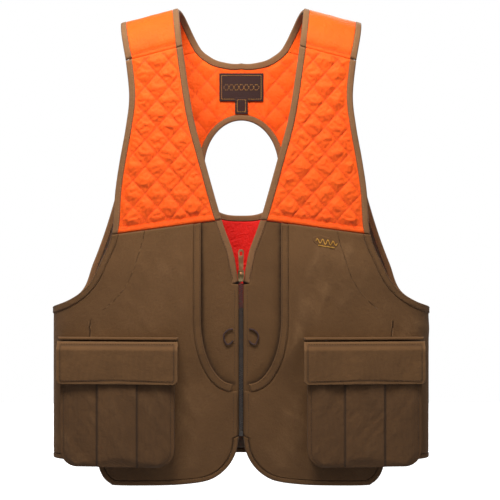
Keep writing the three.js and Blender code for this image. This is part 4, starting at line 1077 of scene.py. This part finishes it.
def pocket(name, side):
    x, z, s = rounded_grid(POCKET_IN, POCKET_OUT, POCKET_LOW, POCKET_TOP, CORNER, 110, 76)
    share = (x - POCKET_IN) / POCKET_WIDE
    middle = smooth((share - 0.318) / 0.018) * smooth((0.682 - share) / 0.018)
    third = np.abs(np.sin(3 * math.pi * share)) ** 0.6
    at = np.stack([x, 0 * x, z], -1)
    inside = smooth(edge_depth(at) / 16)
    low = smooth((150 - z) / 90)
    fold = 1.2 * wrinkles(x, z, 71 + side, 46, 0.3 * side)
    fold = fold + 0.8 * wrinkles(x, z, 76 + side, 20, -0.7)
    off = 2.6 * middle + (1.6 * third * (0.5 + 0.5 * low) + fold) * inside - 2.4 * (1 - inside)
    off = np.maximum(off + 0.8, -2.0)
    line = np.minimum(np.abs(share - 0.325), np.abs(share - 0.675)) * POCKET_WIDE
    # Painted shade in the creases of the box pleats.
    pleat_shade = np.exp(-((line / 1.5) ** 2)) * 0.9
    outer, inner = on_pocket(side, x, z, off + 1.7), on_pocket(side, x, z, off)
    obj = slab(f"{name}_pocket_cloth", inner, outer, SHADED_POCKET_CANVAS, f"{name}_pocket_front",
               seam=pleat_shade, wear=0.5 * smooth(fold / 2))
    attach(obj, f"{name}_pocket")

    w = np.linspace(0, 1, 15)
    crease = 5.0 * (1 - np.abs(2 * w - 1)) ** 1.3
    walls = []
    for extra in (2.0, 0.0):
        lines = []
        for k, c in zip(w, crease):
            px, pz = pocket_edge(extra + c).T
            body = -front_face(*pocket_edge(extra).T)
            y = (body + 0.6) * (1 - k) + (pocket_plane(px) + 0.4) * k
            y = y + 0.6 * noise(px + pz, y * 2, 14, 83)
            lines.append(np.stack([side * px, -y, pz], -1))
        walls.append(np.stack(lines, 1))
    obj = slab(f"{name}_pocket_bellows", walls[0], walls[1], SHADED_POCKET_CANVAS, f"{name}_pocket_gusset")
    attach(obj, f"{name}_front")
    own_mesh(obj)

    border = pocket_edge(SEWN_IN)[4:-4]
    spots = on_pocket(side, border[:, 0], border[:, 1], 1.9)
    lines = [(spots, np.tile(FORWARD, (len(border), 1)))]
    sew(f"{name}_pocket_stitch", lines, THREAD, f"{name}_pocket")

    ends = POCKET_IN - FLAP_PAST, POCKET_OUT + FLAP_PAST
    x, z, s = rounded_grid(*ends, FLAP_LOW, FLAP_TOP - 1, 7.0, 100, 44)
    shape = lambda z: -FLAP_STEP * smooth((z - FLAP_TOP + FLAP_BEND) / FLAP_BEND)
    down = smooth((FLAP_TOP - z) / 60)
    wave = 1.5 * noise(x, 0 * z, 60, 91 + side) + 0.7 * noise(x, z, 24, 93 + side)
    bulge = down * (wave + 1.2 * np.sin(math.pi * s)[None] ** 2)
    off = FLAP_BACK + 0.4 + shape(z) + bulge + 0.25 * noise(x, z, 9, 94)
    depth = edge_depth(np.stack([x, 0 * x, z], -1))
    groove = np.exp(-(((depth - SEWN_IN) / 1.1) ** 2))
    thick = 2.6 - 0.7 * groove
    layers = on_pocket(side, x, z, off), on_pocket(side, x, z, off + thick)
    # Painted shade in the flap's stitched groove, on top of its thinner cloth there.
    obj = slab(f"{name}_flap_cloth", *layers, CANVAS, f"{name}_pocket_flap", seam=0.45 * groove,
               wear=np.exp(-depth / 1.6) * 0.8)
    attach(obj, f"{name}_flap")

    def on_flap(px, pz):
        row = np.array([np.argmin(np.abs(z[:, 0] - q)) for q in pz])
        col = np.array([np.argmin(np.abs(x[r] - q)) for r, q in zip(row, px)])
        return on_pocket(side, px, pz, off[row, col] + thick[row, col] + 0.15)

    x0, x1, zl = POCKET_IN + 0.5, POCKET_OUT - 0.5, FLAP_LOW + SEWN_IN
    lines = []
    for px, pz in (
        (np.full(40, x0), np.linspace(203, zl, 40)), (np.linspace(x0, x1, 90), np.full(90, zl)),
        (np.full(40, x1), np.linspace(zl, 203, 40)), (np.linspace(x0, x1, 90), np.full(90, 214.5)),
    ):
        lines.append((on_flap(px, pz), np.tile(FORWARD, (len(px), 1))))
    sew(f"{name}_flap_stitch", lines, THREAD, f"{name}_flap")

    px = np.linspace(*ends, 90)
    zs = np.linspace(FLAP_TOP + 0.4, FLAP_TOP + 5.4, 7)
    round_top = 1.6 * np.sqrt(np.clip(1 - np.linspace(-1, 1, 7) ** 2, 0, 1)) - 1.2
    level = [(px, 0 * px + q) for q in zs]
    inner = np.stack([np.stack([side * x, front_face(x, z) - 0.5, z], -1) for x, z in level])
    outer = np.stack([on_pocket(side, px, q, -5.2 + r + 0 * px) for q, r in zip(zs, round_top)])
    obj = slab(f"{name}_pocket_welt", inner, outer, CANVAS, f"{name}_flap_welt")
    attach(obj, f"{name}_front")


def front_face(x, z):
    """y of the outer shell's face at x and z, negative in front."""
    u = girth_at(x)
    for _ in range(12):
        uv = front_u(u, z)
        u = u + x - lifted(uv, np.full(len(u), BAG_OUT))[:, 0]
    return lifted(front_u(u, z), np.full(len(u), BAG_OUT))[:, 1]


# ---- Zip ---------------------------------------------------------------------------------
def zip_rows():
    """Two rows of moulded teeth that mesh on the centre line, each on its own bead."""
    pitch, low, high = 2.9, ZIP_BOTTOM_Z + 9, ZIP_TOP_Z
    for name, side in SIDES:
        top = high + (11 if side < 0 else -3)
        count = int((top - low) / pitch)
        points, faces = [], []

        def block(x0, x1, z0, z1, y0, y1, taper):
            start, mid = len(points), (z0 + z1) / 2
            for x, k in ((x0, taper), (x1, 1.0)):
                for y, ky in ((y0, 0.75), (y1, 0.75), (0.5 * (y0 + y1), 1.0)):
                    for z in (z0, z1):
                        zz = mid + (z - mid) * k * ky
                        points.append((side * x, y, zz))
            ring = [start + r for r in (0, 1, 5, 3, 2, 4)]
            faces.extend((a, b, b + 6, a + 6) for a, b in zip(ring, ring[1:] + ring[:1]))
            faces.append(ring[::-1])
            faces.append([r + 6 for r in ring])

        for i in range(count):
            z = low + (i + (0.5 if side > 0 else 0)) * pitch
            y = -depth_at(z)
            block(-0.9, 2.2, z - 1.1, z + 1.1, y - 1.9, y + 1.9, 0.8)
        for i in range(40):
            z0, z1 = low + (top - low) * i / 40, low + (top - low) * (i + 1) / 40
            y = -depth_at((z0 + z1) / 2)
            block(1.7, 2.9, z0 - 0.2, z1 + 0.2, y - 1.2, y + 1.2, 1.0)
        mesh = new_mesh(f"{name}_teeth", np.array(points), faces)
        obj = put(f"{name}_teeth_row", mesh, TOOTH)
        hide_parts(f"{name}_zip_teeth")
        attach(obj, f"{name}_front")


def keep(node, material, bevel=0.0):
    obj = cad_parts[node]
    obj.data.materials.clear()
    obj.data.materials.append(material)
    if bevel:
        modifier = obj.modifiers.new("bevel", "BEVEL")
        modifier.width, modifier.segments, modifier.limit_method = bevel, 2, "ANGLE"


# ---- Cord loops --------------------------------------------------------------------------
LOOP_SPOTS = ((0, 0, 0), (6.3, 0.5, 0.4), (12.6, 5.95, 0.8), (14, 11.9, 0.8), (10.08, 22.1, 0.8),
              (4.2, 21.5, 0.4), (0, 17, 0))  # across, down and out
LOOP_X, LOOP_Z = 12, 236


def cord_loop(name, side):
    spots = [(side * (LOOP_X + x), -(depth_at(LOOP_Z - dz) + 3.7 + out), LOOP_Z - dz)
             for x, dz, out in LOOP_SPOTS]
    line = (spline(spots, 40) - HANG) / 1000
    curve = bpy.data.curves.new(f"{name}_loop_cord", "CURVE")
    curve.dimensions = "3D"
    run = curve.splines.new("POLY")
    run.points.add(len(line) - 1)
    weighted = np.concatenate([line, np.ones((len(line), 1))], 1)
    run.points.foreach_set("co", weighted.astype(np.float32).ravel())
    curve.bevel_depth, curve.bevel_resolution, curve.use_fill_caps = 0.0012, 3, True
    obj = put(f"{name}_loop_cord", curve, CORD_PLAIN)
    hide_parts(f"{name}_cord_loop")
    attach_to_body(obj, f"{name}_loop")


# ---- Labels and emblem -------------------------------------------------------------------
def label_lines(width, height, top, lift):
    """A plain border and a row of diamonds, as embroidered lines on the back's inside."""
    half, low = width / 2, top - height
    box = [(-half, top), (half, top), (half, low), (-half, low), (-half, top)]
    runs = [box]
    if width > 40:
        middle = (top + low) / 2
        for k in range(-3, 4):
            cx, r = k * width / 8, height / 7
            ring = [(cx - r, middle), (cx, middle + r), (cx + r, middle), (cx, middle - r)]
            runs.append(ring + ring[:1])
    out = []
    for run in runs:
        for a, b in zip(run, run[1:]):
            p = np.linspace(a, b, 14)
            uv = back(p[:, 0], p[:, 1])
            out.append((lifted(uv, lift + 0 * uv[:, 0]), -normals(uv[:, 0], uv[:, 1])))
    return out


def label(name, body, cad, width, height, top, lift):
    u, z = np.meshgrid((fine_shares(24) - 0.5) * width, top - height * fine_shares(16))
    rows = back_u(u, z)
    curl = 0.25 * noise(u, z, 14, 7)
    obj = cloth(name, 1, rows, lift - 0.8 + curl, lift + curl, LABEL, cad)
    attach(obj, body)
    lines = label_lines(width - 7, height - 7, top - 3.5, lift - 0.85)
    thread = stitches(f"{name}_motif", lines, GOLD, 2.4, 0.3, 0.35)
    attach(thread, body)


def emblem():
    """A canvas patch with a plain wave and underline in gold thread."""
    centre = front(128, 366)
    t, k = np.linspace(-1, 1, 26), np.linspace(-1, 1, 46)
    half = 21 * np.sqrt(np.clip(1 - (0.97 * t) ** 2, 0, 1))
    across, down = k[None] * half[:, None], 9 * t[:, None] + 0 * k[None]
    rows = np.stack([centre[0] + across, centre[1] + down], -1)
    lift = shell_lift(BAG_OUT + 0.6)(rows)
    obj = cloth("left_front_emblem", 1, rows, lift - 0.6, lift + 0.2, CANVAS, "chest_emblem",
                slot="gold_thread")
    attach(obj, "left_front")
    x = np.linspace(-16, 16, 120)
    wave = 4.2 * np.sin(x * 0.8) * (1 - 0.35 * np.abs(x) / 16)
    lines = []
    for dx, dz in ((x, wave + 1), (x[::4] * 0.8, 0 * x[::4] - 5.6)):
        for shift in (-0.35, 0.35):
            uv = centre + np.stack([dx, dz + shift + 0.09 * dx], -1)
            lines.append(seam_line(1, uv, shell_lift(BAG_OUT + 1.5)(uv)))
    attach(stitches("left_emblem_thread", lines, GOLD, 1.9, 0.1, 0.62), "left_front")


# ---- Build -------------------------------------------------------------------------------
CORD_PLAIN = hard("braided_cord_plain", (58, 30, 22), (36, 18, 14), 0.8, 0.0, 1400)
TAPE_PLAIN = hard("woven_tape_plain", (40, 29, 21), (30, 22, 16), 0.85, 0.0, 1500)
back_yoke()
back_panel()
game_bag()
bindings()
for side_name, side_sign in SIDES:
    front_yoke(side_name, side_sign)
    saddle(side_name, side_sign)
    shells(side_name, side_sign)
    pocket(side_name, side_sign)
    cord_loop(side_name, side_sign)
    for cad_node in ("pocket_loop_tape", "flap_hook_tape", "zip_tape"):
        keep(f"{side_name}_{cad_node}", TAPE_PLAIN)
zip_rows()
keep("zip_slider", BRASS, 0.0004)
keep("zip_pull_tab", PULL, 0.0003)
keep("zip_retainer_box", TOOTH, 0.0004)
keep("zip_insertion_pin", TOOTH)
label("neck_label_cloth", "back", "neck_label", 69, 44, 632, -0.6)
label("size_tab_cloth", "size_tab", "size_tab", 20, 26, 594, -1.6)
emblem()

# ---- Stage, light and camera -------------------------------------------------------------
scene = bpy.context.scene
bpy.ops.mesh.primitive_plane_add(size=3.4, location=(0, 0, -HANG[2] / 1000 - 0.03))
floor = bpy.context.object
floor.name = "floor"
pale = Nodes("pale_floor", Base_Color=(0.8, 0.8, 0.8, 1), Roughness=0.9,
             Emission_Color=(1, 1, 1, 1), Emission_Strength=0.75)
floor.data.materials.append(pale.material)
floor.visible_diffuse = False  # a cut-out background throws no light back
AMBIENT = 0.18  # light from all round; the background itself shows white
world = bpy.data.worlds.new("studio")
scene.world = world
world.use_nodes = True
world.node_tree.nodes["Background"].inputs[0].default_value = (1, 1, 1, 1)
ray = world.node_tree.nodes.new("ShaderNodeLightPath").outputs["Is Camera Ray"]
seen = world.node_tree.nodes.new("ShaderNodeMapRange")
seen.inputs["To Min"].default_value, seen.inputs["To Max"].default_value = AMBIENT, 1.0
world.node_tree.links.new(ray, seen.inputs["Value"])
world.node_tree.links.new(seen.outputs[0], world.node_tree.nodes["Background"].inputs[1])


def light(name, place, target, size, power):
    data = bpy.data.lights.new(name, "AREA")
    data.size, data.energy = size, power
    obj = bpy.data.objects.new(name, data)
    scene.collection.objects.link(obj)
    obj.location = place
    obj.rotation_mode = "QUATERNION"
    obj.rotation_quaternion = (Vector(target) - Vector(place)).to_track_quat("-Z", "Y")


light("key", (-0.16, -0.74, 0.66), (0, 0, -0.18), 0.5, 18)
light("fill", (1.0, -1.4, 0.7), (0, 0, -0.1), 1.0, 7)
light("back", (0.5, 1.5, 0.95), (0, 0.1, -0.25), 1.0, 26)
light("side", (-1.7, 0.2, 0.8), (0, 0, -0.3), 0.9, 9)
camera = bpy.data.cameras.new("camera")
camera.sensor_width = 36
CAMERA_OUT, SPAN, MIDDLE_X, MIDDLE_Z = 2.7, 0.75, 0.0135, 355
camera.lens = camera.sensor_width * CAMERA_OUT / SPAN
camera_object = bpy.data.objects.new("camera", camera)
scene.collection.objects.link(camera_object)
camera_object.location = (MIDDLE_X, -CAMERA_OUT - 0.125, (MIDDLE_Z - HANG[2]) / 1000)
camera_object.rotation_euler = (math.pi / 2, 0, 0)
scene.camera = camera_object
scene.view_settings.view_transform = "Standard"
